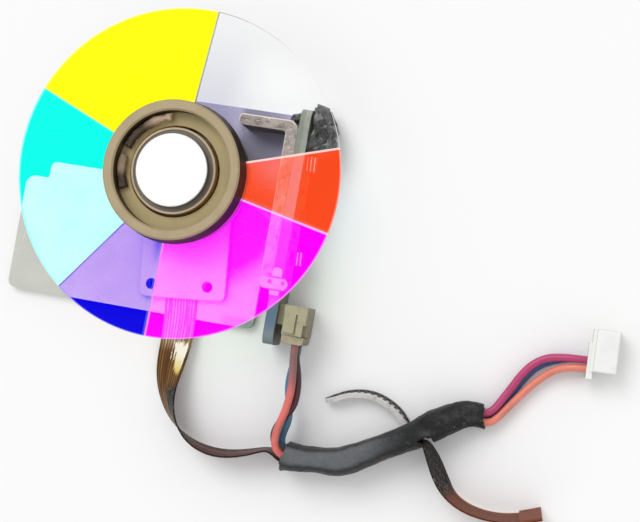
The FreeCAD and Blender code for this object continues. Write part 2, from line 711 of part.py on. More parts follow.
def board_socket():
    """Side-entry socket on a foot, its pins, and the plug that sits in it."""
    shell = box(socket_near, socket_far, socket_low, socket_high, socket_bottom, socket_top)
    outer_edges = [edge for edge in shell.Edges
                   if edge.BoundBox.XMin > socket_far - 0.01 and edge.BoundBox.ZLength < socket_wall]
    shell = shell.makeFillet(socket_edge, outer_edges)
    inner_x = (socket_near + socket_wall, socket_far - socket_wall)
    inner_z = (socket_bottom + socket_wall, socket_top - socket_wall)
    inner_end = socket_high - socket_wall
    shell = shell.fuse(box(board_outer, socket_near, foot_low, socket_high, foot_bottom, foot_top))
    shell = shell.cut(box(inner_x[0], inner_x[1], socket_low, inner_end, inner_z[0], inner_z[1]))
    for x0, x1, y0, y1, depth in socket_cuts:
        shell = shell.cut(box(x0, x1, y0, y1, depth, socket_top))
    save("board_socket", shell.removeSplitter())

    pin_x = plug_wire_x - pin_offset
    pin_inner_end = inner_end - pin_length
    pins = []
    for z in plug_wire_z:
        pins.append(box(pin_x - pin_size / 2, pin_x + pin_size / 2, pin_inner_end, inner_end,
                        z - pin_size / 2, z + pin_size / 2))
    save("socket_pins", Part.makeCompound(pins))

    gap = plug_clearance
    body = box(inner_x[0] + gap, inner_x[1] - gap, plug_end, inner_end - gap,
               inner_z[0] + gap, inner_z[1] - gap)
    tail = box(inner_x[0] - plug_lip, inner_x[1] + plug_lip, plug_end, socket_low - gap,
               inner_z[0] - plug_lip_height, inner_z[1] + plug_lip_height)
    upright = [edge for edge in tail.Edges
               if edge.BoundBox.ZLength > 1 and edge.BoundBox.YMax < plug_end + 0.01]
    tail = tail.makeFillet(plug_corner, upright)
    plug = body.fuse(tail).removeSplitter()
    for z in plug_wire_z:
        bore = Part.makeCylinder(wire_diameter / 2 + wire_hole_clearance, wire_hole_depth,
                                 V(plug_wire_x, plug_end, z), V(0, 1, 0))
        plug = plug.cut(bore)
        plug = plug.cut(box(pin_x - pin_size / 2 - gap, pin_x + pin_size / 2 + gap, pin_inner_end - gap,
                            inner_end, z - pin_size / 2 - gap, z + pin_size / 2 + gap))
    save("sensor_plug", plug)


def flex_stations():
    stations = []
    for (x, y, z, roll), heading, normal in strip_frames(flex_route):
        stations.append((x, y, z, roll, normal))
    return stations


def flex_cable():
    """The motor's flat flex, with its stiffened end and bare contacts."""
    stations = flex_stations()
    flex = strip(stations, flex_width, 0, flex_thickness)
    run = sum(math.dist(a[:2], b[:2]) for a, b in zip(flex_route, flex_route[1:]))
    expected = run * flex_width * flex_thickness
    print("flex_cable length %.1f volume/expected %.3f" % (run, flex.Volume / expected))
    save("flex_cable", flex)
    end = stations[-stiffened_stations:]
    save("flex_stiffener", strip(end, flex_width, -stiffener_thickness, 0))
    contacts = []
    for i in range(contact_count):
        middle = 0.5 + (i - (contact_count - 1) / 2) * contact_pitch / flex_width
        share = contact_width / flex_width / 2
        contacts.append(strip(end, flex_width, flex_thickness, flex_thickness + contact_thickness,
                              middle - share, middle + share))
    save("flex_contacts", Part.makeCompound(contacts))


def sleeve_section(station, inset):
    """Upright rounded outline of the sleeve at one station."""
    x, y, heading, width, height = station
    half = width / 2 - inset
    radius = max(sleeve_corner - inset, 0.3)
    outline = rounded_outline([(-half, inset, radius), (half, inset, radius),
                               (half, height - inset, radius), (-half, height - inset, radius)], 0)
    outline.rotate(V(0, 0, 0), V(1, 0, 0), 90)
    outline.rotate(V(0, 0, 0), V(0, 0, 1), heading + 90)
    outline.translate(V(x, y, 0))
    return outline


def stretched(stations, overshoot):
    """The same stations with the two ends pushed out, so that a cut runs through."""
    moved = list(stations)
    for index, sign in ((0, -1), (-1, 1)):
        x, y, heading, width, height = stations[index]
        turn = math.radians(heading)
        moved[index] = (x + sign * overshoot * math.cos(turn), y + sign * overshoot * math.sin(turn),
                        heading, width, height)
    return moved


def harness_sleeve():
    """Shrunk black sleeve over wires and flex, slit where the flex and the tie leave it."""
    outer = Part.makeLoft([sleeve_section(s, 0) for s in sleeve_stations], True, False)
    longer = stretched(sleeve_stations, sleeve_overshoot)
    inner = Part.makeLoft([sleeve_section(s, sleeve_wall) for s in longer], True, False)
    sleeve = outer.cut(inner)
    along, across, low, high = slit_box
    slit = box(-along / 2, along / 2, -across / 2, across / 2, low, high)
    slit.rotate(V(0, 0, 0), V(0, 0, 1), slit_turn)
    slit.translate(V(flex_exit[0], flex_exit[1], 0))
    sleeve = sleeve.cut(slit)
    along, across, low, high = notch_box
    notch = box(-along / 2, along / 2, -across / 2, across / 2, low, high)
    notch.rotate(V(0, 0, 0), V(0, 0, 1), slit_turn)
    notch.translate(V(tail_entry[0], tail_entry[1], 0))
    save("harness_sleeve", sleeve.cut(notch))


def tie_tail():
    """Tail of a cable tie on edge, with its ladder of teeth on the inner face."""
    route = [(x, y, tie_lift, roll) for x, y, roll in tail_route]
    stations = [(s[0], s[1], s[2], s[3], normal) for s, heading, normal in strip_frames(route)]
    half = tie_thickness / 2
    rail = tie_rail / tie_width
    back = strip(stations, tie_width, -half + tie_tooth_depth, half)
    low_rail = strip(stations, tie_width, -half, half, 0, rail)
    high_rail = strip(stations, tie_width, -half, half, 1 - rail, 1)
    save("tie_tail", back.fuse([low_rail, high_rail]).removeSplitter())


def connector_point(x, wire):
    """A place on the axis of the way that one wire goes to, x into the housing."""
    turn = math.radians(connector_turn)
    way, z = wire_ways[wire]
    y = (way - 1) * connector_pitch
    return (connector_rear[0] + x * math.cos(turn) - y * math.sin(turn),
            connector_rear[1] + x * math.sin(turn) + y * math.cos(turn), z)


def wires():
    """Three wires from the plug on the board to the connector at the far end."""
    routes = [("wire_coral", coral_route), ("wire_crimson", crimson_route), ("wire_blue", blue_route)]
    for wire, (name, route) in enumerate(routes):
        z = plug_wire_z[wire]
        start = [(plug_wire_x, plug_end + wire_hole_depth, z), (plug_wire_x, plug_end - wire_straight, z)]
        end = [connector_point(-wire_straight, wire), connector_point(wire_hole_depth, wire)]
        save(name, tube(start + route + end, wire_diameter, name))


def end_connector():
    """Housing with two rows of ways; three of them hold the wires, all are open at the front."""
    low, high = connector_span
    main = box(connector_flange, connector_length, low, high, 0, connector_height)
    long_edges = [edge for edge in main.Edges if edge.BoundBox.ZMin > connector_height - 0.01]
    main = main.makeFillet(connector_corner, long_edges)
    back = box(connector_flange / 2, connector_flange, low, high, 0, connector_height - connector_step / 2)
    flange = box(0, connector_flange, flange_span[0], flange_span[1], 0, connector_height - connector_step)
    housing = main.fuse([back, flange]).removeSplitter()
    terminals = []
    half = terminal_width / 2
    mouth_start = connector_length - mouth_depth
    for row in connector_rows:
        for way in range(connector_ways):
            y = (way - 1) * connector_pitch
            if y - half < low + bore_clearance:
                continue
            mouth = box(mouth_start, connector_length, y - half, y + half,
                        row - mouth_half_height, row + mouth_half_height)
            housing = housing.cut(mouth)
    for way, z in wire_ways:
        y = (way - 1) * connector_pitch
        bore = Part.makeCylinder(wire_diameter / 2 + bore_clearance, wire_hole_depth, V(0, y, z), V(1, 0, 0))
        housing = housing.cut(bore)
        terminals.append(box(mouth_start, connector_length - 0.5, y - half + 0.12, y + half - 0.12,
                             z - mouth_half_height, z + mouth_half_height - 0.4))
    for name, shape in (("end_connector", housing), ("end_terminals", Part.makeCompound(terminals))):
        placed = shape.copy()
        placed.rotate(V(0, 0, 0), V(0, 0, 1), connector_turn)
        placed.translate(V(connector_rear[0], connector_rear[1], 0))
        save(name, placed)


os.makedirs("parts", exist_ok=True)
filters()
rotor()
clamp_ring()
bracket()
motor_base()
stator()
sensor_holder()
sensor_board()
board_clip()
sealing()
board_socket()
flex_cable()
wires()
harness_sleeve()
tie_tail()
end_connector()
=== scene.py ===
# %% [markdown]
# # The color wheel of a projector
# A disc of coloured glass spins in front of the lamp of a single-chip projector. This lesson dresses its
# solid model: glass that mirrors one colour and passes the rest, turned metal, a loom in a black sleeve.
# The wheel's axis is the Z axis. Blender counts in metres, and the numbers below are millimetres times MM.

import math

import bmesh
import bpy
from mathutils import Matrix, Vector, noise


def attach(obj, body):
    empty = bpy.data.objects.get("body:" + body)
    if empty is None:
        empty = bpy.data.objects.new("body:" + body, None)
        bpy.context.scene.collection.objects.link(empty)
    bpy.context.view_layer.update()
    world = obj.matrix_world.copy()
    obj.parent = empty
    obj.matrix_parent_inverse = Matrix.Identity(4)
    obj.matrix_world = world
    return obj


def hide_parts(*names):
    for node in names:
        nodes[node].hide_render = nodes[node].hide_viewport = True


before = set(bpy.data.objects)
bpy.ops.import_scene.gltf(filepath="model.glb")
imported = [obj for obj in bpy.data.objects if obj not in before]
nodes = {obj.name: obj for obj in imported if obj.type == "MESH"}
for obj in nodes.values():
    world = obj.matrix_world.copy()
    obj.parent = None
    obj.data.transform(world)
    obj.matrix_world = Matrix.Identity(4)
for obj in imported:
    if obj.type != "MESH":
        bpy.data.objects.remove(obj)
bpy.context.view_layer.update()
MM = 0.001

# %% [markdown]
# ## The camera
# The photograph was taken from quite near and from about 72 degrees above the plate. Blender's camera looks
# along its own -Z, so the three rows below are its right, up and backward directions, and stand is its place.

# %% Place the camera
scene = bpy.context.scene


def put_in_scene(name, data):
    """A new object that shows this data."""
    made = bpy.data.objects.new(name, data)
    scene.collection.objects.link(made)
    return made


camera_data = bpy.data.cameras.new("camera")
camera_data.sensor_width = 36
camera_data.lens = 74.925
camera_data.clip_start = 0.005
camera = put_in_scene("camera", camera_data)
right = Vector((0.970161, 0.171678, -0.171214))
up = Vector((-0.162840, 0.984542, 0.064499))
back = Vector((0.179641, -0.034694, 0.983120))
stand = Vector((59.03, -16.36, 200.67)) * MM
camera.matrix_world = Matrix.Translation(stand) @ Matrix((right, up, back)).transposed().to_4x4()
scene.camera = camera
scene.view_settings.view_transform = "Standard"
print("camera height", round(stand.z, 4))

# %% [markdown]
# ## Soft studio light
# A white sky lights everything evenly, which is what shows a mirror's own colour. One wide sun from the
# upper left gives the walls and the cables a lit side and a soft shadow.

# %% Sky and sun
SKY_STRENGTH = 0.78
SUN_STRENGTH = 1.0
SUN_SPREAD = 35
SUN_TILT = (-28, -30, 0)
world = bpy.data.worlds.new("studio")
world.use_nodes = True
sky = world.node_tree.nodes["Background"].inputs
sky["Color"].default_value = (1, 1, 1, 1)
sky["Strength"].default_value = SKY_STRENGTH
scene.world = world
sun_data = bpy.data.lights.new("window", "SUN")
sun_data.energy = SUN_STRENGTH
sun_data.angle = math.radians(SUN_SPREAD)
sun = put_in_scene("window", sun_data)
sun.rotation_euler = [math.radians(v) for v in SUN_TILT]
print("sky", SKY_STRENGTH, "sun", SUN_STRENGTH)

# %% [markdown]
# ## Shader maths as plain Python
# A pattern is arithmetic on positions: a distance to a line, a radius, a noise. A small class wraps a socket,
# and each operator adds the Math node that does it.

# %% Nodes, colours and sockets
def new_node(tree, kind, settings, inputs):
    """Any node from its type, its settings and its inputs, which are values or sockets."""
    made = tree.nodes.new(kind)
    for key, value in (settings or {}).items():
        setattr(made, key, value)
    for key, value in (inputs or {}).items():
        value = getattr(value, "socket", value)
        if isinstance(value, bpy.types.NodeSocket):
            tree.links.new(value, made.inputs[key])
        else:
            made.inputs[key].default_value = value
    return made


def srgb(r, g, b):
    """A picture's colour, 0 to 255, made linear for the shader."""
    def linear(v):
        v = v / 255
        return v / 12.92 if v <= 0.04045 else ((v + 0.055) / 1.055) ** 2.4
    return (linear(r), linear(g), linear(b), 1.0)


class Field:
    """One output of a shader tree."""

    def __init__(self, paint, socket):
        self.paint = paint
        self.socket = socket

    def math(self, operation, *others, clamp=False):
        node = self.paint.node("ShaderNodeMath", {"operation": operation, "use_clamp": clamp},
                               {i: v for i, v in enumerate((self,) + others)})
        return Field(self.paint, node.outputs[0])

    def __add__(self, other):
        return self.math("ADD", other)

    __radd__ = __add__

    def __sub__(self, other):
        return self.math("SUBTRACT", other)

    def __rsub__(self, other):
        node = self.paint.node("ShaderNodeMath", {"operation": "SUBTRACT"}, {0: other, 1: self})
        return Field(self.paint, node.outputs[0])

    def __mul__(self, other):
        return self.math("MULTIPLY", other)

    __rmul__ = __mul__

    def __pow__(self, other):
        return self.math("POWER", other)

    def above(self, edge):
        return self.math("GREATER_THAN", edge)

    def size(self):
        return self.math("ABSOLUTE")

    def held(self):
        return self.math("ADD", 0.0, clamp=True)

    def ramp(self, low, high):
        """0 at low, 1 at high, smooth between; low may be the larger one."""
        node = self.paint.node("ShaderNodeMapRange", {"interpolation_type": "SMOOTHSTEP"},
                               {"Value": self, "From Min": low, "From Max": high})
        return Field(self.paint, node.outputs["Result"])

# %% [markdown]
# ## A material in few words
# A second class keeps one material and its tree. Its short methods name what a finish needs: the place on the
# piece in millimetres, how far a face looks up, clouds, cells, a mix of two colours, a bump.

# %% The Paint class
class Paint:
    def __init__(self, name):
        self.material = bpy.data.materials.new(name)
        self.material.use_nodes = True
        self.tree = self.material.node_tree
        self.tree.nodes.clear()
        # The place on the piece in millimetres, and how far a face looks up: 1 on top, -1 underneath.
        where = self.out("Object", "ShaderNodeTexCoord")
        self.place = self.out("Vector", "ShaderNodeVectorMath", {"operation": "SCALE"},
                              {0: where, "Scale": 1000.0})
        self.xyz = self.parts(self.place)
        self.normal = self.parts(self.out("Normal", "ShaderNodeTexCoord"))
        self.facing = self.normal[2]

    def node(self, kind, settings=None, inputs=None):
        return new_node(self.tree, kind, settings, inputs)

    def out(self, name, kind, settings=None, inputs=None):
        return Field(self, self.node(kind, settings, inputs).outputs[name])

    def parts(self, vector):
        node = self.node("ShaderNodeSeparateXYZ", None, {0: vector})
        return [Field(self, node.outputs[i]) for i in range(3)]

    def walls(self):
        """1 on upright faces, 0 on level ones."""
        return 1 - self.facing.size().ramp(0.3, 0.8)

    def noise(self, scale, detail=3.0, rough=0.55, vector=None, warp=0.0):
        return self.out("Fac", "ShaderNodeTexNoise", None,
                        {"Vector": vector or self.place, "Scale": scale, "Detail": detail,
                         "Roughness": rough, "Distortion": warp})

    def cells(self, scale):
        """Distance to the nearest edge between cells."""
        return self.out("Distance", "ShaderNodeTexVoronoi", {"feature": "DISTANCE_TO_EDGE"},
                        {"Vector": self.place, "Scale": scale})

    def stretched(self, vector, factors):
        """Scaled unevenly, so that a noise on it runs in streaks."""
        return self.out("Vector", "ShaderNodeVectorMath", {"operation": "MULTIPLY"}, {0: vector, 1: factors})

    def lathe_marks(self, radius, z):
        """Fine rings about the axis."""
        return self.out("Fac", "ShaderNodeTexNoise", {"noise_dimensions": "1D"},
                        {"W": radius * 6.0 + z * 4.0, "Scale": 3.0, "Detail": 3.0})

    def mix(self, amount, a, b):
        return self.out(2, "ShaderNodeMix", {"data_type": "RGBA"}, {0: amount, 6: a, 7: b})

    def over(self, base, *layers):
        """Each layer is a share and the colour that it covers the base with."""
        for amount, colour in layers:
            base = self.mix(amount, base, colour)
        return base

    def bump(self, height, strength, distance=0.05):
        return self.out("Normal", "ShaderNodeBump", None,
                        {"Height": height, "Strength": strength, "Distance": distance * MM})

    def surface(self, inputs):
        return self.out("BSDF", "ShaderNodeBsdfPrincipled", None, inputs)

    def clear(self, tint):
        return self.out("BSDF", "ShaderNodeBsdfTransparent", None, {"Color": tint})

    def blend(self, amount, a, b):
        return self.out("Shader", "ShaderNodeMixShader", None, {0: amount, 1: a, 2: b})

    def skin(self, inputs):
        return self.done(self.surface(inputs))

    def done(self, shader):
        self.node("ShaderNodeOutputMaterial", None, {"Surface": shader})
        return self.material


def radius_of(x, y):
    """Distance from the point (0, 0)."""
    return (x * x + y * y) ** 0.5


def wear(node_name, material):
    """Give a carried-over node its finish."""
    slots = nodes[node_name].data.materials
    slots.clear()
    slots.append(material)

# %% [markdown]
# ## Floor
# A pale sheet. The photograph was cut out over something dark, so what the coloured glass passes is dark too:
# the floor shows a dark tone to a ray that came through a see-through face, and its pale one to any other.

# %% Floor sheet
FLOOR_REACH = 2.0
FLOOR_LEVEL = -0.00004


def floor_finish():
    paint = Paint("floor_pale")
    through = paint.out("Transparent Depth", "ShaderNodeLightPath").above(0.5)
    tone = paint.mix(through, (0.95, 0.95, 0.95, 1), (0.004, 0.004, 0.005, 1))
    return paint.skin({"Base Color": tone, "Roughness": 0.9, "Specular IOR Level": 0.1})


floor_mesh = bpy.data.meshes.new("floor")
corners = [(x * FLOOR_REACH, y * FLOOR_REACH, FLOOR_LEVEL) for x, y in ((-1, -1), (1, -1), (1, 1), (-1, 1))]
floor_mesh.from_pydata(corners, [], [(0, 1, 2, 3)])
floor_mesh.materials.append(floor_finish())
floor = put_in_scene("floor", floor_mesh)
print("floor side m", 2 * FLOOR_REACH)

# %% [markdown]
# ## Three wires
# Each wire is one soft line from the plug on the board to the white housing. A NURBS curve of order 3 with a
# round bevel is such a line: it takes the points of the solid model and rounds every corner by itself.

# %% Cord curve helper
def cord_curve(name, route, diameter):
    curve = bpy.data.curves.new(name, "CURVE")
    curve.dimensions = "3D"
    line = curve.splines.new("NURBS")
    line.points.add(len(route) - 1)
    for point, place in zip(line.points, route):
        point.co = (place[0] * MM, place[1] * MM, place[2] * MM, 1)
    line.order_u = 3
    line.use_endpoint_u = True
    line.resolution_u = 6
    curve.bevel_depth = diameter / 2 * MM
    curve.bevel_resolution = 4
    curve.use_fill_caps = True
    return put_in_scene(name, curve)


def nurbs_points(name, route):
    """Points along the smooth line that a route controls."""
    guide = cord_curve(name, route, 0)
    mesh = bpy.data.meshes.new_from_object(guide)
    points = [v.co.copy() for v in mesh.vertices]
    bpy.data.objects.remove(guide)
    bpy.data.meshes.remove(mesh)
    return points

# %% [markdown]
# ## The wires' insulation
# Soft vinyl is coloured all through and greys where it was handled. Each wire changes its tone on the way, so
# two tones are mixed along X, grime lies over them, and a thin coat gives the gloss.

# %% Insulation
def insulation(name, tone, far_tone, dusty, dust):
    paint = Paint(name)
    x, y, _ = paint.xyz
    patches = paint.noise(0.35, 4).ramp(0.42, 0.7)
    near_plug = y.ramp(-31.0, -26.0) * x.ramp(30.0, 27.0) * dust
    tint = paint.mix(x.ramp(30.0, 52.0), tone, far_tone)
    tint = paint.mix((patches * 0.3 + near_plug).held(), tint, dusty)
    fine = paint.noise(3.0, 5, 0.7)
    return paint.skin({
        "Base Color": tint, "Roughness": 0.3 + fine * 0.22, "Coat Weight": 0.3, "Coat Roughness": 0.2,
        "Normal": paint.bump(paint.noise(1.2, 4) + fine * 0.3, 0.25, 0.12)})

# %% Routes of the wires
CORAL = [
    (21.8, -21.8, 5.4), (21.8, -24.0, 5.4), (22.25, -26.6, 5.45), (22.45, -29.4, 5.5), (22.1, -32.3, 5.5),
    (21.4, -34.8, 5.5), (21.15, -36.9, 5.4), (21.75, -38.5, 5.25), (23.4, -39.25, 5.1), (25.6, -38.9, 4.9),
    (27.75, -38.4, 4.75), (31.35, -37.75, 4.75), (36.7, -34.85, 4.75), (40.5, -32.55, 4.7),
    (44.45, -30.8, 4.0), (47.55, -29.15, 3.1), (49.2, -28.65, 2.5), (51.2, -28.82, 2.15),
    (52.3, -28.5, 1.8), (53.35, -27.2, 1.6), (54.75, -25.2, 1.5), (56.5, -22.8, 1.4), (58.3, -20.75, 1.4),
    (60.4, -19.1, 1.9), (62.745, -18.455, 2.75), (64.943, -18.378, 2.75)]
CRIMSON = [
    (21.8, -21.8, 3.9), (21.8, -24.0, 3.9), (22.7, -26.6, 3.9), (23.1, -29.2, 3.9), (22.9, -31.8, 3.95),
    (21.1, -34.4, 3.95), (20.55, -36.5, 3.9), (21.5, -38.05, 3.8), (23.35, -38.9, 3.65), (25.5, -38.8, 3.5),
    (27.7, -38.35, 3.3), (31.35, -37.75, 3.3), (36.7, -34.85, 3.3), (40.5, -32.55, 3.25),
    (43.95, -29.95, 3.1), (47.05, -27.85, 2.65), (49.2, -27.38, 2.5), (51.0, -27.56, 2.25),
    (52.2, -26.75, 2.05), (53.15, -25.0, 1.95), (54.3, -22.85, 1.95), (55.4, -20.7, 2.0),
    (56.8, -18.95, 2.1), (58.6, -17.8, 2.25), (60.6, -17.4, 2.5), (62.701, -17.206, 2.75),
    (64.9, -17.129, 2.75)]
BLUE = [
    (21.8, -21.8, 2.4), (21.8, -24.0, 2.4), (21.35, -26.4, 2.4), (21.3, -29.0, 2.4), (22.0, -31.6, 2.45),
    (22.3, -33.8, 2.45), (21.75, -35.8, 2.4), (21.65, -37.4, 2.35), (22.7, -38.65, 2.25),
    (24.2, -39.0, 2.15), (25.8, -38.75, 2.0), (27.7, -38.35, 1.85), (31.35, -37.75, 1.85),
    (36.7, -34.85, 1.85), (40.5, -32.55, 1.8), (44.2, -30.4, 1.6), (47.3, -28.5, 1.3), (49.2, -27.95, 1.15),
    (51.0, -28.1, 1.0), (52.05, -27.45, 0.75), (53.05, -26.0, 0.62), (54.6, -23.6, 0.6),
    (55.75, -21.4, 0.6), (57.1, -19.6, 0.6), (58.9, -18.35, 0.62), (60.8, -17.7, 0.85),
    (62.701, -17.206, 1.25), (64.9, -17.129, 1.25)]
print("points", len(CORAL), len(CRIMSON), len(BLUE))

# %% Lay the wires
WIRE = 1.15
# Tone near the plug and far from it, grime, the share of it, height at the plug and length.
WIRES = {
    "coral": (CORAL, srgb(226, 108, 100), srgb(232, 130, 108), srgb(132, 92, 90), 0.9, 5.4, 67.5),
    # The crimson wire's tone near the plug is its own dark red painted darker as shade.
    "crimson": (CRIMSON, srgb(78, 26, 36), srgb(186, 50, 108), srgb(50, 26, 32), 0.5, 3.9, 68.0),
    "blue": (BLUE, srgb(80, 130, 160), srgb(60, 84, 140), srgb(60, 74, 100), 0.3, 2.4, 67.1)}
for colour, (route, tone, far_tone, dusty, dust, height, length) in WIRES.items():
    wire = cord_curve("wire_" + colour + "_soft", route, WIRE)
    wire.data.materials.append(insulation("insulation_" + colour, tone, far_tone, dusty, dust))
    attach(wire, "bracket")
    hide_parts("wire_" + colour)
    "wire_" + colour + "_skin"
    height * MM
    length * MM
    print("wire", colour, "mm", length)

# %% [markdown]
# ## The motor's flat flex
# A film of amber plastic with copper tracks inside. It leaves the motor lying flat, rolls onto its edge and
# runs so through the sleeve. Each station is a place and a roll in degrees, and gives a point of both edges.

# %% Flex route
FLEX = [
    (1.25, -9.9, 1.2, 0), (2.2, -18.8, 1.2, 0), (2.5, -22.0, 1.2, 0), (2.6, -25.2, 1.1, 4),
    (2.35, -28.0, 0.6, 14), (2.35, -30.6, 0.35, 28), (2.8, -33.2, 0.25, 46), (3.9, -35.9, 0.2, 62),
    (5.7, -38.1, 0.2, 76), (8.0, -39.7, 0.2, 88), (11.0, -40.55, 0.2, 96), (14.0, -40.45, 0.2, 98),
    (17.0, -39.6, 0.3, 97), (18.9, -38.85, 0.4, 94), (20.2, -38.5, 0.5, 91), (21.2, -38.85, 0.6, 90),
    (22.3, -39.55, 0.62, 90), (23.5, -40.05, 0.65, 90), (27.93, -39.56, 0.65, 90), (31.8, -38.92, 0.65, 90),
    (37.3, -35.92, 0.62, 90), (41.1, -33.62, 0.6, 90), (42.3, -33.1, 0.55, 92), (43.1, -33.15, 0.45, 95),
    (43.8, -33.85, 0.3, 100), (45.1, -35.9, 0.2, 108), (46.5, -38.3, 0.2, 109), (48.1, -40.2, 0.2, 102),
    (50.3, -41.4, 0.2, 99), (53.0, -41.95, 0.2, 98), (55.7, -41.95, 0.2, 98), (58.4, -41.45, 0.2, 100),
    (60.0, -40.9, 0.2, 101), (61.5, -40.3, 0.2, 101)]
FLEX_WIDTH, FLEX_THICK = 5.0, 0.25


def neighbours(row, i):
    """What comes before and after entry i, or the entry itself at an end."""
    return row[max(i - 1, 0)], row[min(i + 1, len(row) - 1)]


def edge_routes(route, width):
    """Routes of a strip's low and high edge from its stations."""
    low, high = [], []
    for i, (x, y, z, roll) in enumerate(route):
        behind, ahead = neighbours(route, i)
        heading = Vector((ahead[0] - behind[0], ahead[1] - behind[1], 0)).normalized()
        side = Vector((-heading.y, heading.x, 0))
        turn = math.radians(roll)
        across = side * math.cos(turn) + Vector((0, 0, math.sin(turn)))
        middle = Vector((x, y, z + width / 2 * math.sin(turn)))
        low.append(tuple(middle - across * width / 2))
        high.append(tuple(middle + across * width / 2))
    return low, high


print("stations", len(FLEX))

# %% [markdown]
# ## A strip between two lines
# Two NURBS lines with as many points each are the edges, and the strip between them twists as smoothly as
# they do. Every point keeps how far along and across it is, for the finish to read.

# %% Strip helper
def ring_faces(rings, count):
    """Four-sided faces between rings that have as many points each."""
    return [(i * count + k, i * count + (k + 1) % count, (i + 1) * count + (k + 1) % count,
             (i + 1) * count + k) for i in range(rings - 1) for k in range(count)]


def strip_mesh(name, low, high, near, far, across=6):
    """A closed strip between two lines of points, from near to far along its own normal."""
    rows = []
    for i, (a, b) in enumerate(zip(low, high)):
        (low_a, low_b), (high_a, high_b) = neighbours(low, i), neighbours(high, i)
        heading = (low_b + high_b - low_a - high_a).normalized()
        normal = heading.cross((b - a).normalized()).normalized()
        rows.append([a.lerp(b, k / across) + normal * near for k in range(across + 1)]
                    + [b.lerp(a, k / across) + normal * far for k in range(across + 1)])
    count = len(rows[0])
    faces = ring_faces(len(rows), count)
    faces.append(tuple(range(count)))
    faces.append(tuple((len(rows) - 1) * count + k for k in reversed(range(count))))
    mesh = bpy.data.meshes.new(name)
    mesh.from_pydata([tuple(p) for row in rows for p in row], [], faces)
    spots = mesh.attributes.new("along_across", "FLOAT_VECTOR", "POINT")
    run = 0.0
    for i, row in enumerate(rows):
        if i:
            run += ((low[i] + high[i]) / 2 - (low[i - 1] + high[i - 1]) / 2).length
        for k in range(count):
            share = k / across if k <= across else (count - 1 - k) / across
            spots.data[i * count + k].vector = (run / MM, share, 0)
    work = bmesh.new()
    work.from_mesh(mesh)
    bmesh.ops.recalc_face_normals(work, faces=work.faces)
    work.to_mesh(mesh)
    work.free()
    return put_in_scene(name, mesh), run

# %% Lay the film
low_route, high_route = edge_routes(FLEX, FLEX_WIDTH)
low_edge = nurbs_points("flex_low", low_route)
high_edge = nurbs_points("flex_high", high_route)
flex, flex_run = strip_mesh("flex_film", low_edge, high_edge, 0, FLEX_THICK * MM)
print("flex length mm", round(flex_run / MM, 1), "faces", len(flex.data.polygons))

# %% [markdown]
# ## The film's finish
# The film is golden with fine tracks at the motor, pale where it catches the light, black and creased where
# it was folded, and reddish brown along the loom. Each function lays its tone over the one before.

# %% Tracks of the film
TRACKS = 11.0


def film_tracks(paint, spot, along, across):
    streaks = paint.noise(1.0, 3, 0.6, paint.stretched(spot, (0.12, 9.0, 1))).ramp(0.3, 0.6)
    lines = (across * TRACKS * math.tau).math("COSINE").ramp(-0.6, 0.7) * across.ramp(0.03, 0.08)
    track = lines * across.ramp(0.97, 0.92) * streaks
    tone = paint.mix(track, srgb(82, 54, 26), srgb(140, 100, 56))
    middle = across.ramp(0.3, 0.5) * across.ramp(0.7, 0.5)
    loom = paint.mix(middle, srgb(56, 26, 20), srgb(116, 62, 46))
    tone = paint.mix(along.ramp(30.0, 34.0), tone, loom)
    far_part = along.ramp(75.0, 78.5)
    tone = paint.mix(far_part, tone, paint.mix(track, srgb(98, 44, 24), srgb(132, 66, 36)))
    return paint.mix(across.ramp(0.06, 0.02) * far_part, tone, srgb(214, 190, 150)), track

# %% Folds and glint
def film_folds(paint, tone, along, across):
    """Charcoal inside the first bend and where the film was folded."""
    streaks = paint.noise(1.1, 5, 0.7, warp=2.2).ramp(0.54, 0.66)
    streaks = streaks + paint.noise(2.6, 4, 0.7).ramp(0.6, 0.7) * 0.5
    charcoal = paint.mix(streaks.held() * 0.6, srgb(20, 19, 17), srgb(158, 153, 140))
    inner = across.ramp(0.42, 0.55) * along.ramp(21.5, 23.5) * along.ramp(34.0, 31.0)
    folded = along.ramp(66.0, 67.0) * along.ramp(79.0, 76.0)
    crumpled = (inner + folded).held()
    return paint.mix(crumpled * 0.92, tone, charcoal), crumpled


def film_glint(paint, tone, spot, along, across, track):
    """A ragged pale patch just outside the disc, a painted highlight where the film catches the light."""
    ragged = (paint.noise(1.0, 3, 0.7, paint.stretched(spot, (0.4, 14.0, 1))) - 0.5) * 0.9
    left = (across - (along - 13.6) * 0.07 - 0.24 + ragged).ramp(0.02, 0.08)
    right = (0.95 - across + ragged * 0.4).ramp(0.0, 0.05)
    start = (along + ragged * 3.5).ramp(15.2, 15.7)
    end = (along + ragged * 3.0).ramp(21.0, 19.6)
    tan = paint.mix(track, srgb(140, 110, 74), srgb(222, 204, 176))
    tone = paint.mix(along.ramp(17.5, 15.0) * 0.8, tone, tan)
    pale = paint.mix(along.ramp(16.5, 20.0), srgb(252, 246, 232), srgb(226, 206, 122))
    return paint.mix(left * right * start * end * 0.95, tone, pale)

# %% Film finish
def film_finish():
    paint = Paint("flex_film_finish")
    spot = paint.out("Vector", "ShaderNodeAttribute", {"attribute_name": "along_across"})
    along, across, _ = paint.parts(spot)
    tone, track = film_tracks(paint, spot, along, across)
    tone, crumpled = film_folds(paint, tone, along, across)
    tone = film_glint(paint, tone, spot, along, across, track)
    creases = paint.cells(0.8)
    height = track * 0.3 + paint.noise(0.5, 3) * 1.2 + crumpled * creases * 4.0
    return paint.skin({
        "Base Color": tone, "Metallic": track * 0.2, "Roughness": 0.3 + paint.noise(2.0, 4) * 0.2,
        "Specular IOR Level": 0.1, "Normal": paint.bump(height, 0.5, 0.12)})


flex.data.materials.append(film_finish())
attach(flex, "bracket")
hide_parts("flex_cable")
print("film dressed in", flex.data.materials[0].name)

